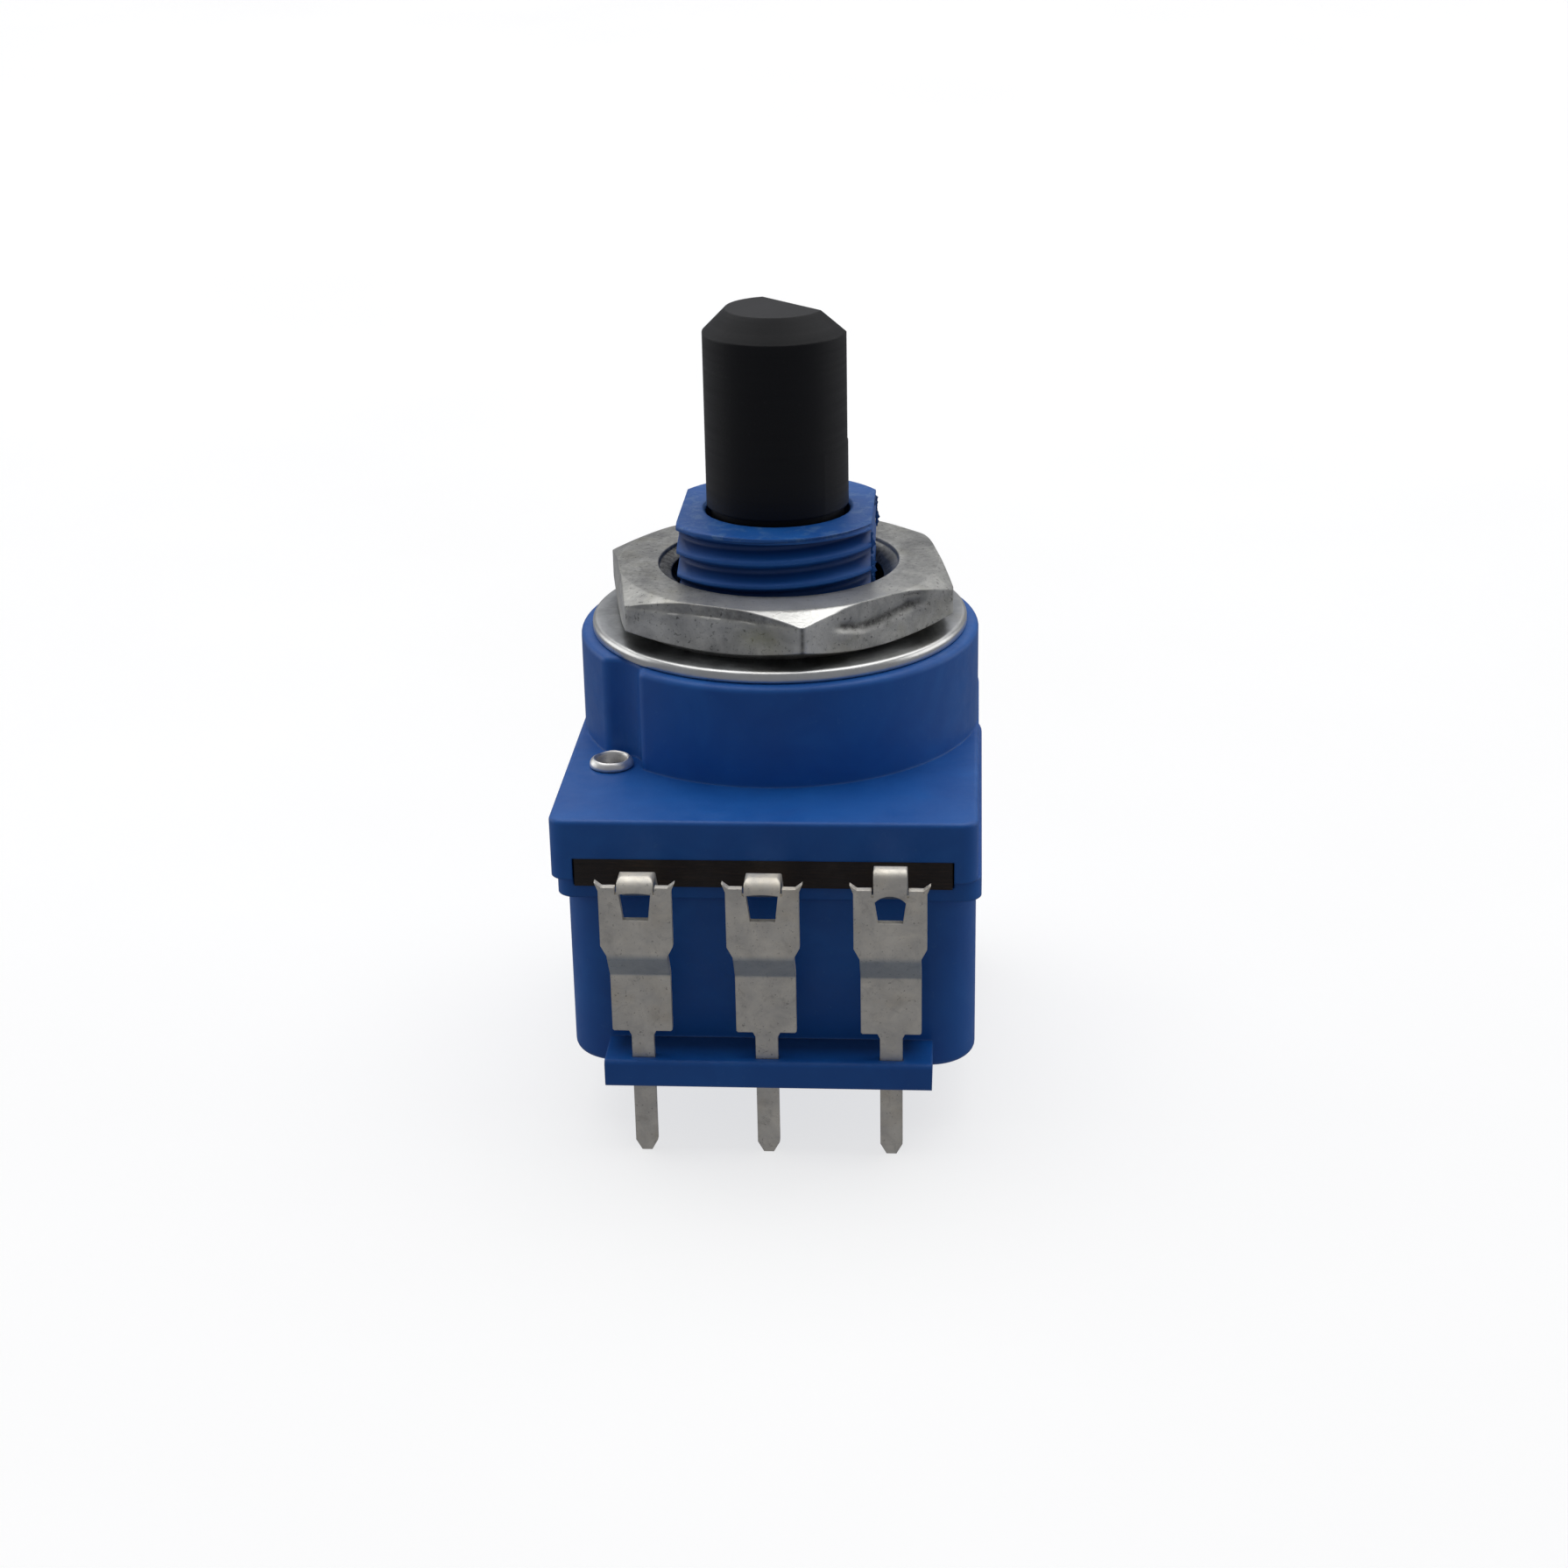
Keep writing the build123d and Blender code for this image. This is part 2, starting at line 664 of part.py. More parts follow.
def terminal(name):
    """One folded sheet: pad under the board, looped neck, holed plate, Z-bend, plate and pin."""
    x = terminal_spots()[name]
    tall = name == "right"
    neck_shape = tall_neck if tall else low_neck
    plate_points = [
        (-plate_middle, flange_top - plate_top_depth + spur_up),
        (-plate_middle, flange_top - jog_top_depth),
        (-pin_middle, flange_top - jog_bottom_depth),
        (-pin_middle, flange_top - pin_tip_depth),
    ]
    plates = sheet_strip(plate_points, terminal_bend, plate_width + 2 * spur_width, x)
    plates &= terminal_front(x, neck_shape[0])
    pad_end = board_front + pad_start + pad_length
    pad = block(
        (x - pad_width / 2, x + pad_width / 2),
        (board_front + pad_start, pad_end),
        (board_bottom - terminal_sheet, board_bottom),
    )
    eyelet_hole = pillar(eyelet_shank, board_bottom - over, board_bottom, x, board_front + eyelet_back)
    return plates + terminal_neck(x, *neck_shape) + pad - terminal_hole(x, tall) - eyelet_hole


def terminal_rivets():
    """Three hollow eyelets that clinch the terminals to the board."""
    low = board_bottom - terminal_sheet
    high = board_top + track_thickness
    y = board_front + eyelet_back
    eyelets = []
    for x in terminal_spots().values():
        body = pillar(eyelet_shank, low - eyelet_height, high + eyelet_height, x, y)
        body += pillar(eyelet_head, high, high + eyelet_height, x, y)
        body += pillar(eyelet_foot, low - eyelet_height, low, x, y)
        body -= pillar(eyelet_bore, low - over, high + over, x, y)
        eyelets.append(body)
    return Compound(children=eyelets)


# ---- lower housing --------------------------------------------------------------------------

def box_shell():
    """Outer form of the switch box: rounded body, slightly wider lip at the top."""
    plan = case_plan(
        lower_width, lower_front, lower_back, lower_front_radius, lower_back_radius, lower_shift
    )
    body = Pos(0, 0, lower_bottom) * extrude(plan, lower_height)
    body = fillet(body.edges().group_by(Axis.Z)[0], lower_edge)
    lip_plan = case_plan(
        lower_width + 2 * lip_out,
        lower_front + lip_out,
        lower_back + lip_out,
        lip_front_radius,
        lower_back_radius,
        lower_shift,
    )
    return body + Pos(0, 0, lower_top - lip_height) * extrude(lip_plan, lip_height)


def pin_ledge(front, depth, width, pins):
    """Shelf along the bottom edge that spaces the board pins, with a slot for each pin."""
    reach = front + depth
    low = lower_bottom + ledge_lift
    shelf = block(
        (lower_shift - width / 2, lower_shift + width / 2),
        (-reach, -front + ledge_root),
        (low, low + ledge_thickness),
    )
    shelf = fillet(shelf.edges().filter_by(Axis.X).group_by(Axis.Y)[0], ledge_edge)
    return shelf - [pin_slot(x, pins) for x in terminal_spots().values()]


def pin_slot(x, y):
    """Slot that a track terminal's pin drops through."""
    half = pin_width / 2 + fit_gap
    sheet = terminal_sheet / 2 + fit_gap
    return block((x - half, x + half), (y - sheet, y + sheet), (lower_bottom - over, floor + 2 * over))


def guide_well():
    """Four walls on the floor that guide the slider, open on the latch side and the contact side."""
    well = block((-well_outer_x, well_outer_x), (-well_outer_y, well_outer_y), (floor - bond, well_top))
    well -= block((-well_inner_x, well_inner_x), (-well_inner_y, well_inner_y), (floor, well_top + over))
    for_latch = block(
        (well_inner_x - over, well_outer_x + over),
        (-latch_window, latch_window),
        (latch_tip - latch_window_drop, well_top + over),
    )
    for_contact = block(
        (-bridge_stem() / 2 - free_gap, bridge_stem() / 2 + free_gap),
        (well_inner_y - over, well_outer_y + over),
        (slider_top - bridge_drop - push_travel - contact_window_drop, well_top + over),
    )
    return well - for_latch - for_contact


def lower_housing():
    """Switch box open to the board: shell, posts for the case rivets, guide well and pin ledge."""
    shell = box_shell()
    inner = case_plan(
        lower_width - 2 * lower_wall,
        lower_front - lower_wall,
        lower_back - lower_wall,
        lip_front_radius,
        lower_back_radius - lower_wall,
        lower_shift,
    )
    body = shell - Pos(0, 0, floor) * extrude(inner, lower_height)
    for x, y in case_rivet_spots().values():
        post = pillar(post_diameter, floor - bond, lower_top, x, y)
        body += post & shell
    body += pin_ledge(lower_front, ledge_depth, ledge_width, -pin_middle)
    body -= Pos(0, 0, board_bottom) * extrude(board_plan(board_play), lower_top - board_bottom + over)
    body -= block(
        (-board_width / 2 - board_play, board_width / 2 + board_play),
        (-lower_front - over, board_front + over),
        (board_bottom, lower_top + over),
    )
    body += guide_well()
    body += pillar(boss_diameter, floor - bond, floor + boss_height)
    for x, y in case_rivet_spots().values():
        body -= pillar(rivet_tube + 2 * fit_gap, lower_bottom - over, lower_top + over, x, y)
    for x in terminal_spots().values():
        body -= block(
            (x - neck_width / 2 - free_gap, x + neck_width / 2 + free_gap),
            (-lower_front - over, -lower_front + lower_wall + over),
            (board_bottom - terminal_sheet - fit_gap, board_bottom + over),
        )
    for x in blade_spots().values():
        body -= blade_slot(x)
    body -= latch_hole()
    return body


def blade_slot(x):
    """Slot in the floor and in the rear ribs that holds a switch terminal."""
    half = blade_width / 2 + fit_gap
    sheet = blade_sheet / 2 + fit_gap
    pin = pin_width / 2 + fit_gap
    thickness = (blade_middle - sheet, blade_middle + sheet)
    seat = block((x - half, x + half), thickness, (floor - blade_seat - free_gap, floor + over))
    return seat + block((x - pin, x + pin), thickness, (lower_bottom - over, floor))


def latch_hole():
    """Hole in the well's wall that the latch wire pivots in."""
    bar = Cylinder(latch_wire / 2 + fit_gap, well_wall + over, rotation=(0, 90, 0))
    return Pos(well_outer_x - well_wall / 2, latch_side, latch_pivot) * bar


def case_rivet(name):
    """Hollow rivet through both housings: rolled head above, flared foot below."""
    x, y = case_rivet_spots()[name]
    top = flange_top + rivet_head_height
    foot_bottom = lower_bottom - rivet_foot
    tube = pillar(rivet_tube, foot_bottom, flange_top + rivet_head_height / 2, x, y)
    head = pillar(rivet_head, flange_top, top, x, y)
    head = fillet(head.edges().group_by(Axis.Z)[-1], rivet_head_height * rivet_roll)
    foot = pillar(rivet_head, foot_bottom, lower_bottom, x, y)
    return tube + head + foot - pillar(rivet_bore, foot_bottom - over, top + over, x, y)


# ---- switch ---------------------------------------------------------------------------------

def groove_path():
    """Heart-shaped loop of the latch groove: down-stroke lane, notch, return lane."""
    low = latch_tip
    high = latch_tip + push_travel
    return Polyline(
        (latch_side, low),
        (latch_side - latch_swing, high),
        (latch_side - latch_swing - notch_reach / 2, high - notch_drop),
        (latch_side - latch_swing - notch_reach, high - bond),
        (latch_side - latch_swing - notch_reach, low + notch_drop),
        (latch_side, low),
    )


def slider():
    """Block that the shaft pushes down: spring pocket below, latch groove in one side."""
    half_x = slider_width / 2
    half_y = slider_depth / 2
    body = block((-half_x, half_x), (-half_y, half_y), (slider_bottom, slider_top))
    body = chamfer(body.edges().filter_by(Axis.Z), slider_corner)
    body -= pillar(spring_pocket, slider_bottom - over, slider_bottom + spring_pocket_depth)
    side = Plane(origin=(half_x - groove_depth, 0, 0), x_dir=(0, 1, 0), z_dir=(1, 0, 0))
    body -= extrude(side * trace(groove_path(), groove_width), groove_depth + over)
    entry = block(
        (half_x - groove_depth, half_x + over),
        (latch_side - groove_width / 2, latch_side + groove_width / 2),
        (slider_bottom - over, latch_tip),
    )
    body -= entry
    plate = slider_top - bridge_drop
    return body - block(
        (-bridge_stem() / 2 - fit_gap, bridge_stem() / 2 + fit_gap),
        (half_y - bridge_tongue - free_gap, half_y + over),
        (plate - bridge_sheet - fit_gap, plate + fit_gap),
    )


def bridge_stem():
    """Width of the tongue that holds the moving contact in the slider."""
    return blade_spacing - 2 * bridge_stem_inset


def moving_contact():
    """T-shaped spring bridge: tongue in the slider, cross bar in front of the fixed contacts."""
    plate = slider_top - bridge_drop
    middle = plate - bridge_sheet / 2
    half_y = slider_depth / 2
    tongue = block(
        (-bridge_stem() / 2, bridge_stem() / 2),
        (half_y - bridge_tongue, flap_back),
        (plate - bridge_sheet, plate),
    )
    bar = block(
        (-bridge_width / 2, bridge_width / 2),
        (flap_back - bridge_sheet, flap_back),
        (middle - bridge_height / 2, middle + bridge_height / 2),
    )
    return tongue + bar


def moving_contact_pads():
    """Two silver pads on the bridge's cross bar."""
    middle = slider_top - bridge_drop - bridge_sheet / 2
    pads = []
    for x in blade_spots().values():
        disc = Cylinder(pad_diameter / 2, pad_thickness, rotation=(90, 0, 0))
        pads.append(Pos(x - lower_shift, flap_back + pad_thickness / 2, middle) * disc)
    return Compound(children=pads)


def blade_spots():
    """Middle of each switch terminal."""
    sides = {"left": -1, "right": 1}
    return {name: lower_shift + side * blade_spacing / 2 for name, side in sides.items()}


def switch_terminal(name):
    """Fixed contact blade that stands in the floor and runs down to a board pin."""
    x = blade_spots()[name]
    wide = blade_width / 2
    pin = pin_width / 2
    tip = flange_top - pin_tip_depth
    seat = floor - blade_seat
    half_outline = [
        (wide, floor + blade_top_height),
        (wide, seat),
        (pin, seat),
        (pin, tip + pin_taper),
        (pin * pin_point, tip),
    ]
    mirrored = [(-px, pz) for px, pz in reversed(half_outline)]
    face = make_face(Polyline(*half_outline, *mirrored, close=True))
    front = Plane(origin=(x, blade_middle, 0), x_dir=(1, 0, 0), z_dir=(0, -1, 0))
    return extrude(front * face, blade_sheet / 2, both=True)


def fixed_contact(name):
    """Silver button on a switch terminal's front face."""
    x = blade_spots()[name]
    disc = Cylinder(button_diameter / 2, button_thickness, rotation=(90, 0, 0))
    return Pos(x, button_face + button_thickness / 2, floor + button_height) * disc


def return_spring():
    """Compression spring between the floor and the slider's pocket."""
    low = floor + spring_wire / 2
    high = slider_bottom + spring_pocket_depth - spring_wire / 2
    path = Helix(pitch=(high - low) / spring_turns, height=high - low, radius=spring_diameter / 2)
    start = Plane(origin=path @ 0, x_dir=(path @ 0).normalized(), z_dir=path % 0)
    return Pos(0, 0, low) * sweep(start * Circle(spring_wire / 2), path=path, is_frenet=True)


def latch_pin():
    """Wire staple: one end pivots in the well's wall, the other rides in the slider's groove."""
    inner = slider_width / 2 - groove_depth + touch_gap
    pivot_end = well_inner_x + latch_pivot_depth
    path = FilletPolyline(
        (pivot_end, latch_side, latch_pivot),
        (latch_leg, latch_side, latch_pivot),
        (latch_leg, latch_side, latch_tip),
        (inner, latch_side, latch_tip),
        radius=latch_bend,
    )
    start = Plane(origin=path @ 0, z_dir=path % 0)
    return sweep(start * Circle(latch_wire / 2), path=path)


# ---- nut and washer -------------------------------------------------------------------------

def washer():
    """Flat washer with softened edges."""
    ring = pillar(washer_diameter, 0, washer_thickness)
    ring -= pillar(washer_bore, -over, washer_thickness + over)
    rims = ring.edges().sort_by(SortBy.LENGTH)[-2:]
    return fillet(rims, washer_edge)


def hex_nut():
    """Hexagon nut with both faces chamfered to a circle and a countersunk bore."""
    low = washer_thickness
    high = low + nut_thickness
    hexagon = RegularPolygon(nut_across_flats / 2, 6, major_radius=False, rotation=nut_turn)
    body = Pos(0, 0, low) * extrude(hexagon, nut_thickness)
    corner = nut_across_corners / 2
    face_radius = nut_across_flats / 2 * nut_face
    drop = (corner - face_radius) * sin(radians(nut_chamfer_angle)) / cos(radians(nut_chamfer_angle))
    profile = Polyline(
        (0, low),
        (face_radius, low),
        (corner, low + drop),
        (corner, high - drop),
        (face_radius, high),
        (0, high),
        close=True,
    )
    body &= revolve(Plane.XZ * make_face(profile), Axis.Z)
    bore = thread_diameter + 2 * nut_bore_gap
    body -= pillar(bore, low - over, high + over)
    rims = body.edges().filter_by(GeomType.CIRCLE).sort_by(SortBy.RADIUS)[:2]
    return chamfer(rims, nut_countersink)


# ---- the kept pieces ------------------------------------------------------------------------

def pieces():
    """Every separate piece by name."""
    parts = {
        "upper_housing": upper_housing(),
        "lower_housing": lower_housing(),
        "shaft": shaft(),
        "rotor": rotor(),
        "wiper": wiper(),
        "hex_nut": hex_nut(),
        "washer": washer(),
        "track_board": track_board(),
        "carbon_track": carbon_track(),
        "collector_ring": collector_ring(),
        "end_leads": end_leads(),
        "terminal_rivets": terminal_rivets(),
        "slider": slider(),
        "moving_contact": moving_contact(),
        "moving_contact_pads": moving_contact_pads(),
        "return_spring": return_spring(),
        "latch_pin": latch_pin(),
    }
    for name in terminal_spots():
        parts["terminal_" + name] = terminal(name)
    for name in case_rivet_spots():
        parts["case_rivet_" + name] = case_rivet(name)
    for name in blade_spots():
        parts["switch_terminal_" + name] = switch_terminal(name)
        parts["fixed_contact_" + name] = fixed_contact(name)
    return parts


os.makedirs("parts", exist_ok=True)
for node, shape in pieces().items():
    export_step(shape, f"parts/{node}.step")
    print(node, round(shape.volume, 3), len(shape.solids()))
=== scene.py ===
import math

import bpy
from mathutils import Matrix, Vector, noise


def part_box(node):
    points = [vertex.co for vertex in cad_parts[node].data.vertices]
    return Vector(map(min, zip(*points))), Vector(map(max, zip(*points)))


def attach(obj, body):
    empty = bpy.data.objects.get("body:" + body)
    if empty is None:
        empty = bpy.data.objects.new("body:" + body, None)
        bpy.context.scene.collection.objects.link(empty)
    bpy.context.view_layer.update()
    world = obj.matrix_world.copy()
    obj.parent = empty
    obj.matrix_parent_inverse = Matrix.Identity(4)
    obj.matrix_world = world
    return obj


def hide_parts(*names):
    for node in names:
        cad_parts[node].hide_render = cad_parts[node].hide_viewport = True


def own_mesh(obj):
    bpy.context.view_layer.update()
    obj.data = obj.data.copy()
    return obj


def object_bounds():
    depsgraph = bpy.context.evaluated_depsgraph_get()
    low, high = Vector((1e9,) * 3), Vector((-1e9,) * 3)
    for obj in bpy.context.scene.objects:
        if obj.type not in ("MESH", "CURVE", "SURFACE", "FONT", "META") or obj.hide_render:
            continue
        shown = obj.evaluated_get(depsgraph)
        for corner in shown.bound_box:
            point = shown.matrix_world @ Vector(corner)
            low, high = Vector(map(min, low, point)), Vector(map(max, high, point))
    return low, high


MM = 0.001

# ---- sizes of the pieces made here, in mm and degrees, as in the part ----
NUT_FLATS = 13.7            # across flats
NUT_TURN = -79.3            # azimuth of the corner nearest the front, degrees
NUT_TOP_START = 6.80        # radius where the top face starts to roll off
NUT_TOP_ROLL = 0.14         # width of that roll-off
NUT_TOP_SLOPE = 24.0        # degrees, beyond it
NUT_LOW_START = 6.40        # radius of the bottom face
NUT_LOW_SLOPE = 26.8        # degrees, beyond it
NUT_BORE = 8.9              # thread minor diameter
NUT_BORE_SINK = 10.15       # countersink at each face
NUT_PITCH = 1.0
NUT_THREAD_DEPTH = 0.42
NUT_CORNER_RUB = 0.22       # how far from a corner its edge is rubbed round
NUT_SMOOTH = 26.0           # edges sharper than this stay sharp
WASHER_BORE = 10.2
WASHER_EDGE = 0.22          # rolled radius of the top edges, half of it on the bottom ones
SPRING_WIRE = 0.3
SPRING_CLOSED = 1.0         # closed turns at each end
SPRING_OPEN = 3.5           # open turns between them
RIVET_TUBE = 1.3            # outer diameter under the head
RIVET_BORE = 0.95
BUSHING_TOP = 5.1
BUSHING_DIAMETER = 9.8      # over the thread's crests
BUSHING_FLATS = 8.1         # across them
BUSHING_RIM = 0.23          # height of the plain rim over the thread
FLANGE_TOP = -4.28

# ---- marks painted by place, in mm ----
THREAD_START = 0.05         # lowest height with painted shade in the thread grooves
RIM_RUBBED = 0.16           # height of the rubbed band at the bushing's top
LEDGE_BELOW = -10.0         # all blue faces that look up under this height are the ledge's top
LEDGE_FRONT = 13.6          # the painted shade on it ends this far in front of the shaft's axis
LEDGE_REACH = 6.6           # and this far to each side

# ---- mesh divisions ----
NUT_FACE_COLUMNS = 44
WASHER_COLUMNS = 192
RIVET_COLUMNS = 64
SPRING_PER_TURN = 36
SPRING_AROUND = 10
STUDIO_COLUMNS = 96

# ---- studio, in metres ----
FLOOR_RADIUS = 2.0
FLOOR_GAP = 0.00002         # below the pins, so that they don't cut the floor
WALL_START = 0.7            # radius where the floor starts to curve up
WALL_COVE = 0.3
WALL_HEIGHT = 1.5
SKY_COLOUR = (0.86, 0.88, 0.95)
SKY_STRENGTH = 0.27

# ---- camera, at the photograph's angle ----
CAMERA_YAW = 4.201
CAMERA_ELEVATION = 22.40
CAMERA_ROLL = -1.086
CAMERA_DISTANCE = 119.44
CAMERA_LENS = 63.08
AIM_RIGHT = 0.10            # where the frame's centre passes the middle of the flange top
AIM_UP = -3.08
SENSOR_WIDTH = 36.0
CLIP_START, CLIP_END = 0.005, 10.0


def mm(*values):
    return tuple(v * MM for v in values)


def noise_at(x, y, z):
    return noise.noise(Vector((x, y, z)))


# ---------------------------------------------------------------- materials

class Nodes:
    """A short way to build one material's node tree."""

    def __init__(self, name):
        self.material = bpy.data.materials.new(name)
        self.material.use_nodes = True
        self.tree = self.material.node_tree
        self.shader = self.tree.nodes["Principled BSDF"]
        spot = self.add("ShaderNodeTexCoord").outputs
        self.place = spot["Object"]
        self.facing = spot["Normal"]

    def add(self, kind, inputs=None, **settings):
        node = self.tree.nodes.new(kind)
        for key, value in settings.items():
            setattr(node, key, value)
        for key, value in (inputs or {}).items():
            self.put(node.inputs[key], value)
        return node

    def put(self, socket, value):
        if isinstance(value, bpy.types.NodeSocket):
            self.tree.links.new(value, socket)
        else:
            socket.default_value = value

    def stretched(self, scale):
        """The place with each axis scaled, for a pattern drawn out along one of them."""
        node = self.add("ShaderNodeMapping", {"Vector": self.place, "Scale": scale})
        return node.outputs["Vector"]

    def speckle(self, per_mm, detail=3.0, roughness=0.55, place=None, distortion=0.0):
        inputs = {
            "Vector": place or self.place,
            "Scale": per_mm / MM,
            "Detail": detail,
            "Roughness": roughness,
            "Distortion": distortion,
        }
        return self.add("ShaderNodeTexNoise", inputs).outputs["Fac"]

    def ramp(self, value, stops):
        """Colours laid along a value, as (position, colour) stops."""
        node = self.add("ShaderNodeValToRGB", {"Fac": value})
        band = node.color_ramp.elements
        while len(band) < len(stops):
            band.new(0.5)
        for element, (position, colour) in zip(band, stops):
            element.position = position
            element.color = (*colour, 1.0)
        return node.outputs["Color"]

    def grey(self, value, stops):
        """A value remapped through (position, grey) stops."""
        return self.ramp(value, [(position, (g, g, g)) for position, g in stops])

    def mix(self, factor, a, b):
        node = self.add("ShaderNodeMix", data_type="RGBA", blend_type="MIX")
        self.put(node.inputs[0], factor)
        self.put(node.inputs[6], a if isinstance(a, bpy.types.NodeSocket) else (*a, 1.0))
        self.put(node.inputs[7], b if isinstance(b, bpy.types.NodeSocket) else (*b, 1.0))
        return node.outputs[2]

    def maths(self, operation, a, b=0.0, clamp=False):
        node = self.add("ShaderNodeMath", operation=operation, use_clamp=clamp)
        self.put(node.inputs[0], a)
        self.put(node.inputs[1], b)
        return node.outputs[0]

    def times(self, a, b, clamp=False):
        return self.maths("MULTIPLY", a, b, clamp=clamp)

    def parts(self, vector):
        """The x, y and z of a vector."""
        return self.add("ShaderNodeSeparateXYZ", {"Vector": vector}).outputs

    def mark(self, name):
        """A value from 0 to 1 that the mesh code left on each of its points."""
        return self.add("ShaderNodeAttribute", attribute_name=name).outputs["Fac"]

    def rounded(self, radius_mm):
        return self.add("ShaderNodeBevel", {"Radius": radius_mm * MM}, samples=6).outputs["Normal"]

    def bump(self, height, depth_mm, under=None):
        inputs = {"Height": height, "Distance": depth_mm * MM, "Strength": 1.0}
        node = self.add("ShaderNodeBump", inputs)
        if under is not None:
            self.put(node.inputs["Normal"], under)
        return node.outputs["Normal"]

    def finish(self, colour, roughness, normal, metallic=0.0, **uniform):
        self.put(self.shader.inputs["Base Color"], colour)
        self.put(self.shader.inputs["Roughness"], roughness)
        self.put(self.shader.inputs["Normal"], normal)
        self.shader.inputs["Metallic"].default_value = metallic
        for key, value in uniform.items():
            self.shader.inputs[key.replace("_", " ")].default_value = value
        return self.material


def linear(r, g, b):
    """A colour given as 0-255 screen values, as the shader takes it."""
    def one(v):
        v = v / 255.0
        return v / 12.92 if v <= 0.04045 else ((v + 0.055) / 1.055) ** 2.4
    return (one(r), one(g), one(b))


def thread_grooves(n):
    """1 in the bushing's thread grooves, 0 on its crests, flats and rim and all other places."""
    x, y, z = n.parts(n.place)
    radius = n.maths("SQRT", n.maths("ADD", n.times(x, x), n.times(y, y)))
    depth = n.maths("SUBTRACT", 0.5 * BUSHING_DIAMETER * MM, radius)
    depth = n.times(depth, 2.2 / MM, clamp=True)
    inside = n.maths("LESS_THAN", n.maths("ABSOLUTE", x), (0.5 * BUSHING_FLATS - 0.02) * MM)
    inside = n.times(inside, n.maths("GREATER_THAN", z, THREAD_START * MM))
    inside = n.times(inside, n.maths("LESS_THAN", z, (BUSHING_TOP - BUSHING_RIM) * MM))
    return n.times(depth, inside)


def ledge_painted_shade(n):
    """Painted shade: 1 on the pin ledge's top next to the case's wall, 0 at its free edges and
    elsewhere.
    """
    x, y, z = n.parts(n.place)
    low = n.maths("LESS_THAN", z, LEDGE_BELOW * MM)
    level = n.maths("GREATER_THAN", n.parts(n.facing)["Z"], 0.5)
    inner = n.times(n.maths("ADD", y, LEDGE_FRONT * MM), 0.9 / MM, clamp=True)
    side = n.maths("SUBTRACT", LEDGE_REACH * MM, n.maths("ABSOLUTE", x))
    side = n.times(side, 1.2 / MM, clamp=True)
    return n.times(n.times(low, level), n.times(inner, side))


def moulded_blue(name):
    """Satin blue thermoplastic: faint flow marks, a rubbed rim, painted shade in the thread grooves
    and on the ledge's top.
    """
    n = Nodes(name)
    flow = n.speckle(0.35, detail=2.0, distortion=0.6)
    fine = n.speckle(14.0, detail=4.0)
    blues = [(0.25, linear(14, 82, 160)), (0.55, linear(18, 89, 168)), (0.8, linear(25, 98, 178))]
    colour = n.ramp(flow, blues)
    scuff = n.grey(n.speckle(3.2, detail=5.0, roughness=0.7), [(0.62, 0.0), (0.74, 1.0)])
    colour = n.mix(n.times(scuff, 0.10), colour, linear(110, 155, 200))
    # painted shade: the thread grooves darkened where the crests above them shade them
    colour = n.mix(n.times(thread_grooves(n), 0.62), colour, linear(4, 22, 70))
    # painted shadow on the ledge's top, under the terminals
    colour = n.mix(n.times(ledge_painted_shade(n), 0.72), colour, linear(8, 20, 48))
    rim = n.maths("GREATER_THAN", n.parts(n.place)["Z"], (BUSHING_TOP - RIM_RUBBED) * MM)
    # wear: the top band of the bushing's rim is lighter in worn patches
    wear_and_highlight = n.speckle(1.5, detail=6.0, roughness=0.78, distortion=0.5)
    wear_and_highlight = n.times(rim, n.grey(wear_and_highlight, [(0.50, 0.0), (0.62, 1.0)]))
    colour = n.mix(n.times(wear_and_highlight, 0.30), colour, linear(120, 156, 190))
    rough = n.grey(n.speckle(1.3, detail=3.0), [(0.3, 0.42), (0.7, 0.54)])
    edge = n.rounded(0.13)
    waves = n.bump(n.speckle(0.8, detail=2.0), 0.012, under=edge)
    grain = n.bump(fine, 0.0035, under=waves)
    return n.finish(colour, rough, grain, IOR=1.5, Specular_IOR_Level=0.42)


def moulded_black(name):
    """Black acetal shaft: low sheen, faint rings from the die, a few hairline scuffs."""
    n = Nodes(name)
    tone = n.speckle(0.5, detail=3.0)
    colour = n.ramp(tone, [(0.3, linear(5, 5, 9)), (0.7, linear(9, 9, 13))])
    rings = n.speckle(1.0, detail=4.0, place=n.stretched((0.05, 0.05, 3.0)))
    scuff = n.grey(n.speckle(2.4, detail=6.0, roughness=0.75), [(0.64, 0.0), (0.72, 1.0)])
    colour = n.mix(n.times(scuff, 0.08), colour, linear(96, 98, 102))
    scratch = n.speckle(1.0, detail=2.0, place=n.stretched((5.0, 5.0, 0.5)), distortion=0.3)
    scratch = n.times(n.grey(scratch, [(0.70, 0.0), (0.73, 1.0)]), scuff)
    colour = n.mix(n.times(scratch, 0.5), colour, linear(120, 122, 126))
    rough = n.grey(rings, [(0.3, 0.44), (0.7, 0.58)])
    normal = n.bump(rings, 0.006, under=n.rounded(0.10))
    normal = n.bump(n.speckle(16.0, detail=4.0), 0.003, under=normal)
    return n.finish(colour, rough, normal, IOR=1.48, Specular_IOR_Level=0.32)


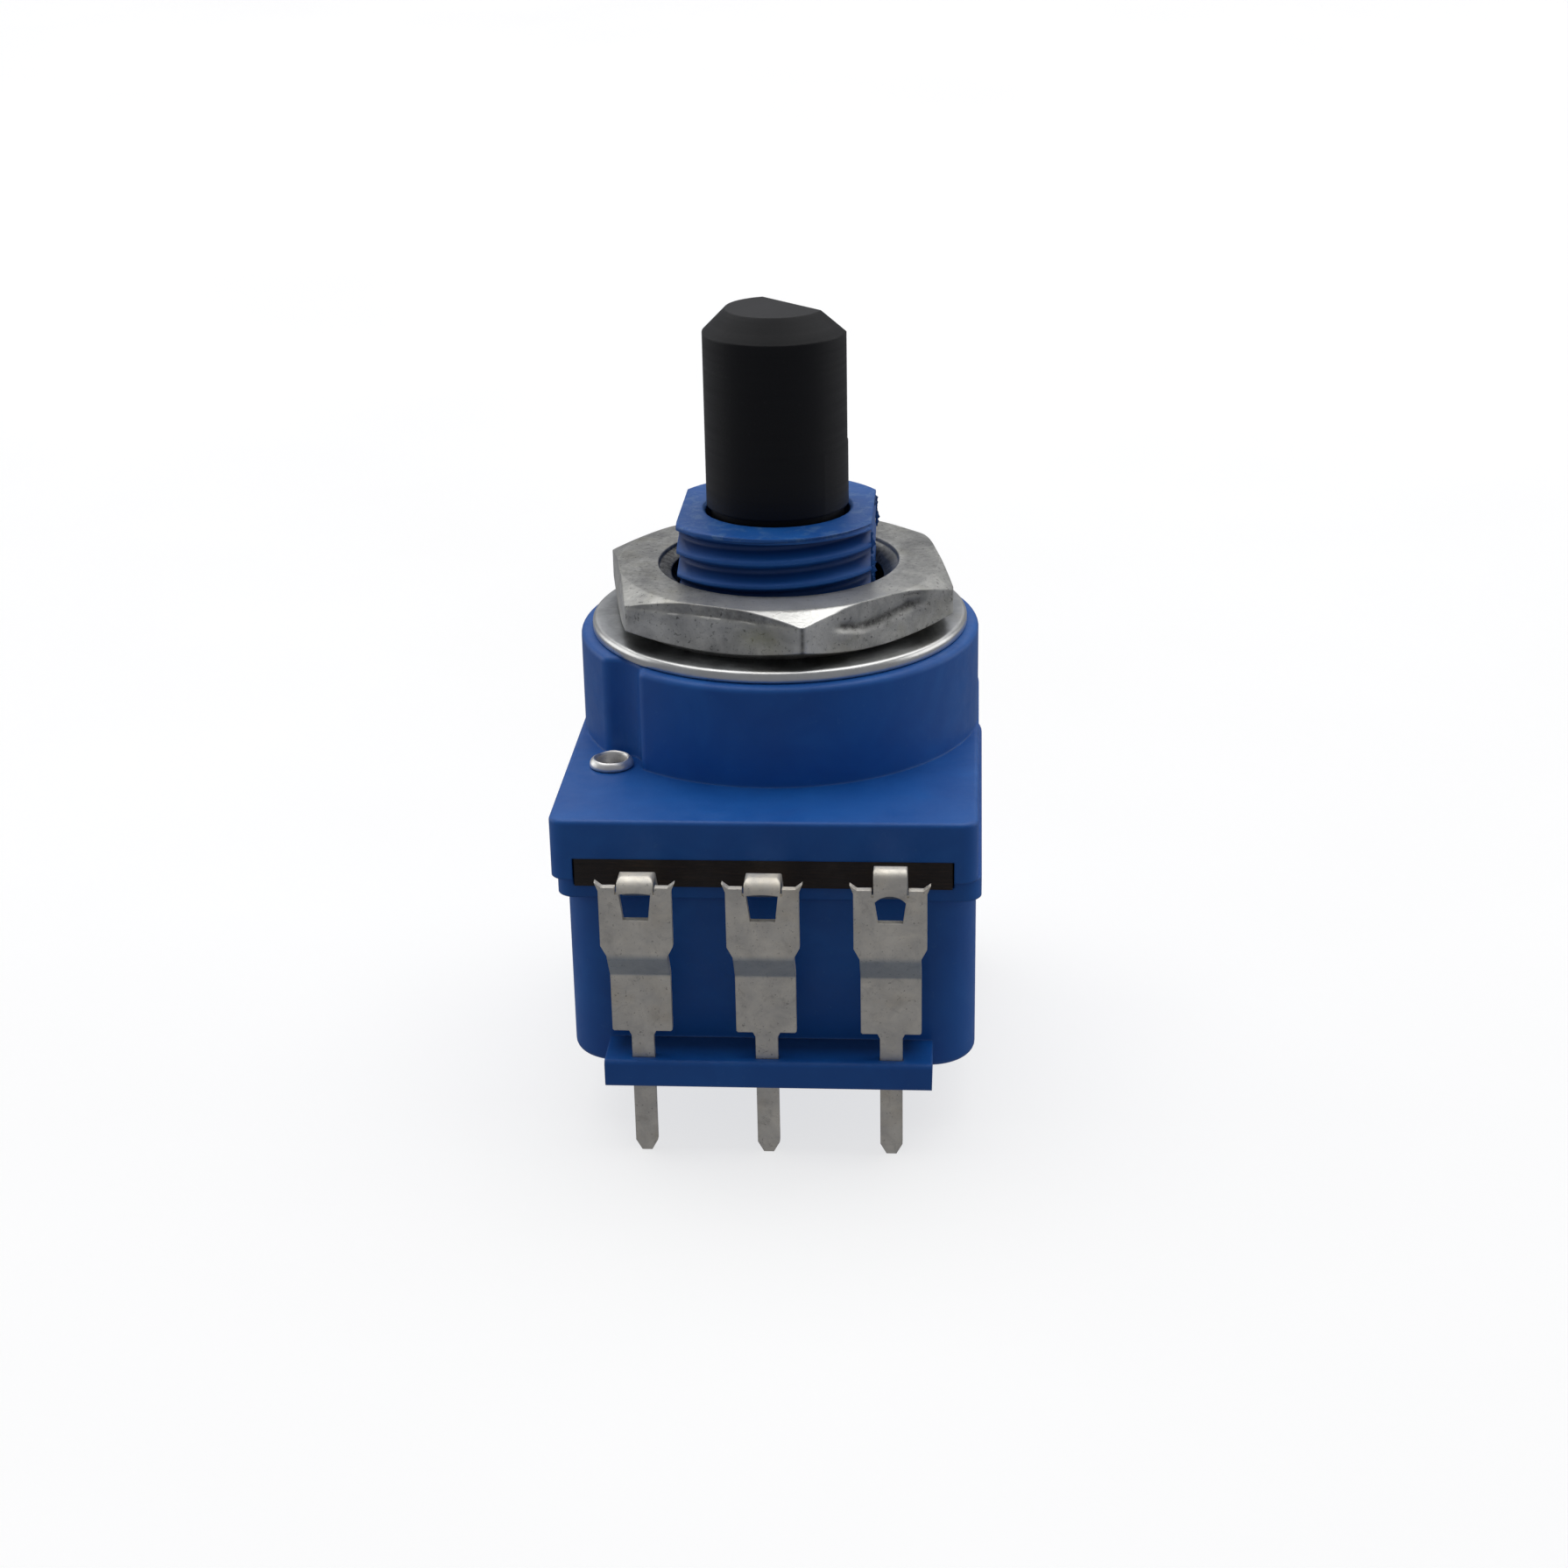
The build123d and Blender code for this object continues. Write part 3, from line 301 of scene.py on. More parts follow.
def zinc(name, dark, light, stain, pits, edge, sheen, grain, metallic):
    """Tumbled and plated zinc: cloudy greys, dark pits and warm stains, less glossy in patches.

    The mesh marks where it also has grime and painted shade, a polished edge with a painted
    highlight, or a stain.
    """
    n = Nodes(name)
    cloud = n.speckle(0.7, detail=5.0, roughness=0.62, distortion=0.4)
    colour = n.ramp(cloud, [(0.30, linear(*dark)), (0.68, linear(*light))])
    stains = n.grey(n.speckle(0.42, detail=4.0, roughness=0.6), [(0.52, 0.0), (0.72, 1.0)])
    colour = n.mix(n.times(stains, 0.55), colour, linear(*stain))
    pitted = n.grey(n.speckle(5.5, detail=4.0, roughness=0.7), [(0.34, 1.0), (0.42, 0.0)])
    colour = n.mix(n.times(pitted, pits), colour, linear(62, 62, 60))
    rough = n.grey(n.speckle(1.1, detail=5.0, roughness=0.65), [(0.3, sheen), (0.7, sheen + 0.18)])
    ragged = n.grey(n.speckle(4.0, detail=4.0, roughness=0.7), [(0.30, 0.55), (0.62, 1.0)])
    # painted shade and dirt: this mark darkens the nut's bore, countersink and top away from the
    # front, the washer under the nut, the rivets' funnels and undercuts, and worn places on the
    # nut's flats
    grime_and_shade = n.times(n.mark("grime_and_shade"), ragged)
    colour = n.mix(grime_and_shade, colour, linear(38, 38, 36))
    # painted highlight: this mark turns the colour near white on the nut's top front and chamfer,
    # the washer's rim and the rivets' lips, and the next line also makes those places less rough
    colour = n.mix(n.mark("polish_and_highlight"), colour, linear(246, 245, 240))
    rough = n.mix(n.mark("polish_and_highlight"), rough, (0.26, 0.26, 0.26))
    colour = n.mix(n.times(n.mark("stain"), ragged), colour, linear(158, 156, 104))
    normal = n.bump(cloud, 0.016, under=n.rounded(edge))
    normal = n.bump(n.speckle(6.0, detail=5.0, roughness=0.65), grain, under=normal)
    return n.finish(colour, rough, normal, metallic=metallic)


def tinned(name, dark, light, stain):
    """Tin-dipped sheet: cloudy greys, warm specks, faint drag lines, a painted bluish reflection on
    faces that look down.
    """
    n = Nodes(name)
    cloud = n.speckle(0.9, detail=5.0, roughness=0.66, distortion=0.5)
    colour = n.ramp(cloud, [(0.28, linear(*dark)), (0.70, linear(*light))])
    warm = n.grey(n.speckle(0.55, detail=4.0), [(0.5, 0.0), (0.75, 1.0)])
    colour = n.mix(n.times(warm, 0.5), colour, linear(*stain))
    specks = n.grey(n.speckle(7.0, detail=3.0, roughness=0.7), [(0.30, 1.0), (0.38, 0.0)])
    colour = n.mix(n.times(specks, 0.45), colour, linear(74, 66, 58))
    lines = n.speckle(1.0, detail=4.0, place=n.stretched((6.0, 1.0, 0.35)))
    smudge = n.speckle(1.9, detail=5.0, roughness=0.72, distortion=0.8)
    smudge = n.grey(smudge, [(0.56, 0.0), (0.70, 1.0)])
    colour = n.mix(n.times(smudge, 0.22), colour, linear(128, 124, 118))
    # painted reflection: faces that look down turn pale bluish
    under = n.times(n.parts(n.facing)["Z"], -1.1, clamp=True)
    colour = n.mix(n.times(under, 0.85), colour, linear(132, 152, 170))
    rough = n.grey(n.speckle(1.4, detail=4.0), [(0.3, 0.50), (0.7, 0.68)])
    normal = n.bump(cloud, 0.014, under=n.rounded(0.07))
    normal = n.bump(lines, 0.006, under=normal)
    normal = n.bump(n.speckle(9.0, detail=4.0), 0.004, under=normal)
    return n.finish(colour, rough, normal, metallic=1.0)


def phenolic(name):
    """Punched phenolic paper board: near black brown, with the layers showing on its cut edge."""
    n = Nodes(name)
    layers = n.speckle(1.0, detail=4.0, roughness=0.7, place=n.stretched((0.9, 0.9, 11.0)))
    browns = [(0.3, linear(22, 15, 10)), (0.55, linear(38, 27, 19)), (0.75, linear(58, 42, 30))]
    colour = n.ramp(layers, browns)
    rough = n.grey(n.speckle(2.0, detail=4.0), [(0.3, 0.50), (0.7, 0.68)])
    normal = n.bump(layers, 0.02, under=n.rounded(0.05))
    normal = n.bump(n.speckle(8.0, detail=4.0), 0.008, under=normal)
    return n.finish(colour, rough, normal)


def plain_plastic(name, dark, light):
    """Unfilled nylon or acetal of the hidden mouldings: slightly cloudy, with fine die texture."""
    n = Nodes(name)
    colour = n.ramp(n.speckle(0.5, detail=3.0), [(0.3, linear(*dark)), (0.7, linear(*light))])
    rough = n.grey(n.speckle(1.5, detail=3.0), [(0.3, 0.42), (0.7, 0.56)])
    normal = n.bump(n.speckle(10.0, detail=4.0), 0.004, under=n.rounded(0.06))
    return n.finish(colour, rough, normal, IOR=1.52)


def carbon(name):
    """Screen-printed carbon ink: matt black with a fine sandy surface."""
    n = Nodes(name)
    sand = n.speckle(4.0, detail=5.0, roughness=0.7)
    colour = n.ramp(sand, [(0.3, linear(18, 18, 19)), (0.7, linear(34, 33, 33))])
    rough = n.grey(n.speckle(3.0, detail=3.0), [(0.3, 0.62), (0.7, 0.78)])
    normal = n.bump(n.speckle(12.0, detail=4.0), 0.008)
    return n.finish(colour, rough, normal)


def sheet_metal(name, dark, light, lines=(1.0, 1.0, 1.0)):
    """Rolled strip, printed silver or drawn wire: bright metal with drawing lines along it."""
    n = Nodes(name)
    colour = n.ramp(n.speckle(1.0, detail=4.0), [(0.3, linear(*dark)), (0.7, linear(*light))])
    rough = n.grey(n.speckle(2.0, detail=4.0), [(0.3, 0.22), (0.7, 0.40)])
    drawn = n.speckle(3.0, detail=4.0, place=n.stretched(lines))
    normal = n.bump(drawn, 0.004, under=n.rounded(0.03))
    return n.finish(colour, rough, normal, metallic=1.0)


def studio_floor(name):
    """Matt pale paper, lifted towards white by a little light of its own."""
    n = Nodes(name)
    greys = [(0.3, linear(150, 150, 150)), (0.7, linear(156, 156, 156))]
    colour = n.ramp(n.speckle(0.02, detail=3.0), greys)
    rough = n.grey(n.speckle(0.2), [(0.3, 0.75), (0.7, 0.85)])
    n.shader.inputs["Emission Color"].default_value = (1.0, 1.0, 1.0, 1.0)
    n.shader.inputs["Emission Strength"].default_value = 0.70
    return n.finish(colour, rough, n.bump(n.speckle(1.0), 0.004), Specular_IOR_Level=0.1)


# ---------------------------------------------------------------- meshes

def new_object(name, vertices, faces, material, smooth_to=30.0, marks=None):
    """A mesh object, smooth up to edges of smooth_to degrees; each mark has a value a point."""
    mesh = bpy.data.meshes.new(name)
    mesh.from_pydata(vertices, [], faces)
    for mark, values in (marks or {}).items():
        mesh.attributes.new(mark, "FLOAT", "POINT").data.foreach_set("value", values)
    mesh.validate()
    mesh.update()
    mesh.materials.append(material)
    mesh.shade_smooth()
    mesh.set_sharp_from_angle(angle=math.radians(smooth_to))
    obj = bpy.data.objects.new(name, mesh)
    bpy.context.scene.collection.objects.link(obj)
    return obj


def ring_grid(columns, rows):
    """Faces of a closed tube of vertices laid out column by column."""
    faces = []
    for c in range(columns):
        d = (c + 1) % columns
        for r in range(rows):
            s = (r + 1) % rows
            faces.append((c * rows + r, c * rows + s, d * rows + s, d * rows + r))
    return faces


def lens(value, middle, half_length):
    """1 in the middle of a stretch, falling to 0 at its two ends."""
    return max(0.0, 1.0 - ((value - middle) / half_length) ** 2)


def step_up(value, edge, width):
    """0 below an edge and 1 above it, with a soft rise of the given width."""
    t = min(1.0, max(0.0, (value - edge) / width + 0.5))
    return t * t * (3.0 - 2.0 * t)


def bell(value, middle, width):
    """1 at the middle, falling off smoothly on both sides."""
    return math.exp(-((value - middle) / width) ** 2)


def flat_wear(face, along, height):
    """Depth of the wear of a nut flat in mm, and how dark it is there.

    along runs from -1 to 1 across the flat, and height from 0 to 1 up it.
    """
    wander = 0.05 * noise_at(along * 2.3, face * 5.1, 0.7)
    jagged = 0.02 * noise_at(along * 14.0, face * 3.3, 2.1)
    if face == 0:           # gouge right of the front corner, which dips and then climbs
        bend = along + 0.20
        middle = 0.49 + 0.375 * math.hypot(bend, 0.06) - 0.055 * bend + jagged
        reach = lens(along, 0.02, 0.60)
        groove = 1.0 if reach > 0.3 else reach / 0.3
        cut = groove * bell(height, middle, 0.060 if height < middle else 0.095 + 2.0 * jagged)
        shelf = groove * step_up(height, middle + 0.03, 0.05)
        nick = bell(along, 0.48, 0.13) * bell(height, 0.90 + jagged, 0.035)
        return 0.15 * cut + 0.05 * shelf + 0.06 * nick, 0.95 * cut + 0.8 * nick
    if face == 5:           # rougher band left by the shear along the top of the flat left of it
        edge = 0.78 + 0.6 * jagged
        band = lens(along, -0.05, 1.0) ** 0.4 * step_up(height, edge, 0.035)
        return 0.09 * band, band * (0.30 + 0.35 * bell(along, 0.35, 0.45))
    edge = 0.80 + wander
    band = lens(along, 0.1 * face - 0.3, 0.8) * step_up(height, edge, 0.07)
    return 0.05 * band, 0.2 * band


def top_drop(radius):
    """Depth of the nut's rolled-off top below its highest plane."""
    past = radius - NUT_TOP_START
    slope = math.tan(math.radians(NUT_TOP_SLOPE))
    if past <= 0.0:
        return 0.0
    if past < NUT_TOP_ROLL:
        return slope * past * past / (2.0 * NUT_TOP_ROLL)
    return slope * (past - NUT_TOP_ROLL / 2.0)


def make_nut(material):
    """Hexagon nut: threaded bore, rolled and chamfered top, worn flats, one column at a time."""
    low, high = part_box("hex_nut")
    bottom, top = low.z / MM, high.z / MM
    thick = top - bottom
    apothem = NUT_FLATS / 2.0
    half_side = apothem * math.tan(math.radians(30.0))
    low_slope = math.tan(math.radians(NUT_LOW_SLOPE))
    columns = NUT_FACE_COLUMNS * 6
    thread_rows, sink_rows, level_rows, roll_rows, side_rows = 30, 4, 5, 12, 26
    sink = (NUT_BORE_SINK - NUT_BORE) / 2.0
    inner = NUT_BORE_SINK / 2.0 + 0.06
    vertices, grime_and_shade, polish_and_highlight, stain = [], [], [], []
    for c in range(columns):
        face, step = divmod(c, NUT_FACE_COLUMNS)
        along = -math.cos(math.pi * step / NUT_FACE_COLUMNS)    # crowded towards the corners
        across = math.atan(along * math.tan(math.radians(30.0)))
        turn = math.radians(NUT_TURN + 30.0 + 60.0 * face) + across
        to_corner = half_side * (1.0 - abs(along))
        reach = apothem / math.cos(across)
        reach -= max(0.0, NUT_CORNER_RUB - to_corner) ** 2 / 0.9
        front_edge = (face, along < 0.0) in ((0, True), (5, False))
        at_front = bell(to_corner, 0.0, 0.10) if front_edge else 0.0
        off_front = math.degrees(math.remainder(turn - math.radians(NUT_TURN), math.tau))
        shaded_side = 0.5 - 0.5 * math.cos(turn)
        profile = []        # radius, height, grime and painted shade, polish and painted highlight, stain
        # painted shade in the threaded bore, deeper on the left side
        for i in range(thread_rows + 1):
            z = bottom + sink * 0.6 + (thick - sink * 1.2) * i / thread_rows
            phase = (z / NUT_PITCH - math.degrees(turn) / 360.0) % 1.0
            groove = 1.0 - abs(2.0 * phase - 1.0)
            r = NUT_BORE / 2.0 + NUT_THREAD_DEPTH * groove
            profile.append((r, z, 0.85 + 0.15 * shaded_side, 0.0, 0.0))
        # painted shade in the countersink, deeper on the left side and fading towards the top face
        for i in range(sink_rows + 1):
            share = i / sink_rows
            sink_shade = (0.40 + 0.6 * shaded_side) * (1.0 - 0.5 * share)
            r, z = inner - 0.06 * (1.0 - share), top - 0.16 * (1.0 - share) ** 2
            profile.append((r, z, sink_shade, 0.0, 0.0))
        edge = reach - flat_wear(face, along, 1.0)[0]
        # painted shade on the top face away from the front corner, and painted light on it near the
        # front corner
        painted_top_shade = 0.56 * (1.0 - bell(off_front, 0.0, 42.0))
        wear_and_highlight = 0.55 * bell(off_front, 0.0, 36.0)
        level_end = min(NUT_TOP_START, edge - 0.05)
        for i in range(1, level_rows + 1):
            r = inner + (level_end - inner) * i / level_rows
            profile.append((r, top, painted_top_shade, wear_and_highlight, 0.0))
        # painted highlight on the rolled top edge beside the front corner
        painted_highlight = bell(off_front, 0.5, 21.0)
        for i in range(1, roll_rows + 1):
            r = level_end + (edge - level_end) * (i / roll_rows) ** 1.8
            bright = painted_highlight * step_up(r, NUT_TOP_START + 0.10, 0.12)
            profile.append((r, top - top_drop(r), 0.7 * painted_top_shade, bright, 0.0))
        low_drop = max(0.02, (reach - NUT_LOW_START) * low_slope)
        low_drop += 0.10 * lens(along, 0.0, 1.0) if face == 5 else 0.0
        high_drop = top_drop(edge)
        for i in range(1, side_rows + 1):
            height = 1.0 - i / side_rows
            z = bottom + low_drop + (thick - low_drop - high_drop) * height
            share = (z - bottom) / thick
            depth, dark = flat_wear(face, along, share)
            crease = at_front * step_up(0.80, share, 0.1)
            pad = bell(along, -0.80, 0.16) if face == 0 else 0.0
            oil = bell(along, 0.50, 0.20) * bell(share, 0.50, 0.2) if face == 5 else 0.0
            r = reach - depth - 0.03 * crease
            profile.append((r, z, min(1.0, dark + 0.85 * crease), 0.40 * pad, 0.5 * oil))
        for share in (0.33, 0.66, 1.0):
            r = reach + (NUT_LOW_START - reach) * share
            profile.append((r, bottom + low_drop * (1.0 - share), 0.3, 0.0, 0.0))
        profile.append((NUT_BORE_SINK / 2.0, bottom, 0.3, 0.0, 0.0))
        for r, z, dark, bright, warm in profile:
            vertices.append(mm(r * math.cos(turn), r * math.sin(turn), z))
            grime_and_shade.append(dark)
            polish_and_highlight.append(bright)
            stain.append(warm)
    marks = {"grime_and_shade": grime_and_shade, "polish_and_highlight": polish_and_highlight, "stain": stain}
    faces = ring_grid(columns, len(vertices) // columns)
    nut = new_object("nut_threaded", vertices, faces, material, smooth_to=NUT_SMOOTH, marks=marks)
    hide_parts("hex_nut")
    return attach(nut, "housing")


def make_washer(material):
    """Flat washer with rolled edges, its rim polished with a painted highlight and painted shade on
    its face under the nut.
    """
    low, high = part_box("washer")
    bottom, top = low.z / MM, high.z / MM
    outer = (high.x - low.x) / 2.0 / MM
    inner = WASHER_BORE / 2.0
    edge = WASHER_EDGE
    small = WASHER_EDGE * 0.5
    arc = [math.radians(a) for a in (0, 18, 36, 54, 72, 90)]
    profile = []
    for a in arc:           # inner top edge, then outer top, outer bottom and inner bottom
        profile.append((inner + edge - edge * math.cos(a), top - edge + edge * math.sin(a)))
    for i in range(1, 6):
        profile.append((inner + edge + (outer - inner - 2.0 * edge) * i / 6, top))
    for a in reversed(arc):
        profile.append((outer - edge + edge * math.cos(a), top - edge + edge * math.sin(a)))
    for a in arc:
        profile.append((outer - small + small * math.cos(a), bottom + small - small * math.sin(a)))
    for a in reversed(arc):
        profile.append((inner + small - small * math.cos(a), bottom + small - small * math.sin(a)))
    vertices, grime_and_shade, polish_and_highlight = [], [], []
    for c in range(WASHER_COLUMNS):
        turn = math.tau * c / WASHER_COLUMNS
        for r, z in profile:
            x, y = r * math.cos(turn), r * math.sin(turn)
            vertices.append(mm(x, y, z))
            # painted highlight on the rolled rim, and painted shade on the face inside it, under
            # the nut
            rim = step_up(r, outer - 0.8 * edge, 0.8 * edge)
            grime_and_shade.append(0.30 * (1.0 - step_up(r, outer - 2.2 * edge, edge)))
            polish_and_highlight.append(0.55 * rim)
    marks = {"grime_and_shade": grime_and_shade, "polish_and_highlight": polish_and_highlight}
    faces = ring_grid(WASHER_COLUMNS, len(profile))
    washer = new_object("washer_rolled", vertices, faces, material, marks=marks)
    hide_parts("washer")
    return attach(washer, "housing")


def make_rivet(node, name, material):
    """Hollow rivet with its lip rolled out into a funnel, a little uneven, and a flared foot."""
    low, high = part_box(node)
    x0, y0 = (low.x + high.x) / 2.0 / MM, (low.y + high.y) / 2.0 / MM
    bottom, top = low.z / MM, high.z / MM
    head = (high.x - low.x) / 2.0 / MM
    bore, tube = RIVET_BORE / 2.0, RIVET_TUBE / 2.0
    # radius and depth below the top: up the outside, over the lip and down the funnel
    upper = [
        (tube, 0.40), (head - 0.07, 0.40), (head - 0.015, 0.36), (head, 0.29),
        (head - 0.01, 0.20), (head - 0.05, 0.10), (head - 0.11, 0.03), (head - 0.16, 0.0),
        (head - 0.21, 0.02), (head - 0.25, 0.08), (head - 0.29, 0.17), (head - 0.33, 0.28),
        (bore + 0.07, 0.42), (bore + 0.03, 0.58), (bore, 0.80), (bore, 1.60),
    ]
    # radius and height above the foot's lowest point: down the bore and out round the foot
    lower = [
        (bore, 0.70), (bore + 0.02, 0.42), (bore + 0.09, 0.20), (bore + 0.20, 0.05),
        (bore + 0.28, 0.0), (head - 0.08, 0.03), (head - 0.01, 0.12), (head, 0.20),
        (head - 0.03, 0.28), (tube, 0.30),
    ]
    vertices, grime_and_shade, polish_and_highlight = [], [], []
    for c in range(RIVET_COLUMNS):
        turn = math.tau * c / RIVET_COLUMNS
        dx, dy = math.cos(turn), math.sin(turn)
        uneven = 0.5 + 0.5 * noise_at(1.4 * dx + 3.0, 1.4 * dy, 0.5)
        for r, depth in upper:
            lip = bell(depth, 0.0, 0.25) if r > tube else 0.0
            r -= 0.06 * lip * uneven
            vertices.append(mm(x0 + r * dx, y0 + r * dy, top - depth - 0.05 * lip * uneven))
            # painted shade deepening down the funnel and under the rolled lip, and a painted
            # highlight on the lip
            if r < head - 0.22:         # inside the funnel
                grime_and_shade.append(min(0.95, 1.1 * max(0.0, depth - 0.12)))
            else:
                grime_and_shade.append(0.9 * step_up(depth, 0.36, 0.08))
            polish_and_highlight.append(0.5 * lip)
        for r, height in lower:
            vertices.append(mm(x0 + r * dx, y0 + r * dy, bottom + height))
            grime_and_shade.append(0.5)
            polish_and_highlight.append(0.0)
    marks = {"grime_and_shade": grime_and_shade, "polish_and_highlight": polish_and_highlight}
    faces = ring_grid(RIVET_COLUMNS, len(upper) + len(lower))
    rivet = new_object(name, vertices, faces, material, smooth_to=50.0, marks=marks)
    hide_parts(node)
    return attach(rivet, "housing")


def make_spring(material):
    """Compression spring with closed ends, made at one length; the real spring shortens as the
    slider goes down on it.
    """
    low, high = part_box("return_spring")
    wire = SPRING_WIRE / 2.0
    radius = (high.x - low.x) / 2.0 / MM - wire
    bottom, top = low.z / MM, high.z / MM
    height = top - bottom
    end_rise = SPRING_CLOSED * 1.04 * SPRING_WIRE
    open_rise = height - 2.0 * wire - 0.02 - 2.0 * end_rise
    around = SPRING_AROUND
    steps = int((2.0 * SPRING_CLOSED + SPRING_OPEN) * SPRING_PER_TURN)
    vertices, faces = [], []
    for i in range(steps + 1):
        turn = i / SPRING_PER_TURN
        past = turn - SPRING_CLOSED
        rise = min(turn, SPRING_CLOSED) / SPRING_CLOSED * end_rise
        rise += min(max(past, 0.0), SPRING_OPEN) / SPRING_OPEN * open_rise
        rise += max(past - SPRING_OPEN, 0.0) / SPRING_CLOSED * end_rise
        a = math.tau * turn
        for k in range(around):
            b = math.tau * k / around
            r = radius + wire * math.cos(b)
            z = bottom + wire + rise + wire * math.sin(b)
            vertices.append(mm(r * math.cos(a), r * math.sin(a), z))
    for i in range(steps):
        here, there = i * around, (i + 1) * around
        for k in range(around):
            m = (k + 1) % around
            faces.append((here + k, there + k, there + m, here + m))
    faces.append(tuple(range(around)))
    faces.append(tuple(steps * around + k for k in reversed(range(around))))
    spring = new_object("spring_coil", vertices, faces, material, smooth_to=50.0)
    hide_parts("return_spring")
    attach(spring, "housing")
    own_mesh(spring)
    return spring


def make_flash(material):
    """Ragged moulding flash down the bushing's right flat, where the thread turns are cut off."""
    top = BUSHING_TOP
    face = BUSHING_FLATS / 2.0
    end = math.sqrt((BUSHING_DIAMETER / 2.0) ** 2 - face ** 2)
    vertices, faces = [], []

    def fin(y, z, along_y, along_z, height, seed, steps=9):
        """A thin ragged fin from (y, z) on the flat, along a line, standing out from the flat."""
        first = len(vertices)
        for i in range(steps + 1):
            t = i / steps
            ragged = 0.55 + 0.9 * noise_at(seed + 6.0 * t, seed * 1.7, 0.3)
            out = height * max(0.05, ragged) * math.sin(math.pi * (0.04 + 0.92 * t)) ** 0.6
            py, pz = y + along_y * t, z + along_z * t
            bend = 0.10 * noise_at(seed, 4.0 * t, 1.9)
            for side in (-0.022, 0.022):
                vertices.append(mm(face - 0.03, py + side, pz))
            for side in (0.012, -0.012):
                vertices.append(mm(face + out, py + bend + side, pz + 0.4 * bend))
        for i in range(steps):
            a, b = first + 4 * i, first + 4 * (i + 1)
            for k in range(4):
                m = (k + 1) % 4
                faces.append((a + k, a + m, b + m, b + k))
        faces.append((first + 3, first + 2, first + 1, first))
        last = first + 4 * steps
        faces.append((last, last + 1, last + 2, last + 3))

    fin(-end + 0.06, top - 0.32, 0.0, -0.95, 0.20, 1.3)
    fin(-end + 0.05, top - 1.35, 0.0, -0.80, 0.26, 4.1)
    fin(-end + 0.09, top - 2.10, 0.0, -0.45, 0.14, 7.7)
    fin(end - 0.25, top - 0.25, 0.0, -0.60, 0.16, 2.6)
    fin(end - 0.10, top - 0.80, 0.0, -0.90, 0.28, 9.2)
    fin(0.4, top - 0.16, 1.3, 0.04, 0.09, 5.4)
    flash = new_object("bushing_flash", vertices, faces, material)
    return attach(flash, "housing")


# ---------------------------------------------------------------- the object

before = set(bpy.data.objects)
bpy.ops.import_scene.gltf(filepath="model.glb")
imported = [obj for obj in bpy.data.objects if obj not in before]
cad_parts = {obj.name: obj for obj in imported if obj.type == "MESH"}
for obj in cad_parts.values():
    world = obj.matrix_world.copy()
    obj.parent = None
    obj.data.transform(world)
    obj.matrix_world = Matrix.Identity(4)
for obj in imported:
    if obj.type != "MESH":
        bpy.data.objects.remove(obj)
cad_low, cad_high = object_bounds()

blue = moulded_blue("satin_blue_moulding")
nut_metal = zinc(
    "tumbled_zinc_nut", dark=(158, 158, 156), light=(224, 223, 217), stain=(184, 180, 160),
    pits=0.62, edge=0.10, sheen=0.30, grain=0.015, metallic=0.7,
)
washer_metal = zinc(
    "plated_washer", dark=(148, 150, 152), light=(188, 190, 192), stain=(170, 168, 162),
    pits=0.2, edge=0.08, sheen=0.28, grain=0.003, metallic=1.0,
)
rivet_metal = zinc(
    "plated_rivet", dark=(206, 204, 201), light=(244, 242, 240), stain=(214, 206, 188),
    pits=0.3, edge=0.04, sheen=0.30, grain=0.010, metallic=0.85,
)
strip_tin = tinned("tinned_strip", (213, 209, 201), (246, 240, 227), (226, 213, 188))
steel = sheet_metal("spring_steel", (150, 152, 155), (205, 206, 208))
bronze = sheet_metal("contact_bronze", (178, 132, 80), (214, 170, 110), lines=(1.0, 5.0, 1.0))
silver = sheet_metal("contact_silver", (176, 176, 174), (222, 222, 218))

FINISHES = {
    "upper_housing": blue,
    "lower_housing": blue,
    "shaft": moulded_black("black_acetal"),
    "rotor": plain_plastic("rotor_moulding", (28, 28, 30), (44, 44, 46)),
    "slider": plain_plastic("slider_moulding", (206, 202, 190), (228, 224, 212)),
    "wiper": bronze,
    "moving_contact": bronze,
    "moving_contact_pads": silver,
    "track_board": phenolic("phenolic_board"),
    "carbon_track": carbon("carbon_ink"),
    "collector_ring": silver,
    "end_leads": silver,
    "terminal_rivets": rivet_metal,
    "case_rivet_front": rivet_metal,
    "case_rivet_rear": rivet_metal,
    "terminal_left": strip_tin,
    "terminal_centre": strip_tin,
    "terminal_right": strip_tin,
    "switch_terminal_left": strip_tin,
    "switch_terminal_right": strip_tin,
    "fixed_contact_left": silver,
    "fixed_contact_right": silver,
    "return_spring": steel,
    "latch_pin": steel,
    "hex_nut": nut_metal,
    "washer": washer_metal,
}
for node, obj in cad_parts.items():
    obj.data.materials.clear()
    obj.data.materials.append(FINISHES[node])

make_nut(nut_metal)
make_washer(washer_metal)
make_flash(blue)
make_spring(steel)
make_rivet("case_rivet_front", "rivet_front_rolled", rivet_metal)
make_rivet("case_rivet_rear", "rivet_rear_rolled", rivet_metal)

# ---------------------------------------------------------------- the studio

scene = bpy.context.scene


def disc(name, radius, height, material):
    """Flat round sheet, for the floor."""
    vertices = [(0.0, 0.0, height)]
    for i in range(STUDIO_COLUMNS):
        a = math.tau * i / STUDIO_COLUMNS
        vertices.append((radius * math.cos(a), radius * math.sin(a), height))
    faces = [(0, 1 + i, 1 + (i + 1) % STUDIO_COLUMNS) for i in range(STUDIO_COLUMNS)]
    return new_object(name, vertices, faces, material)


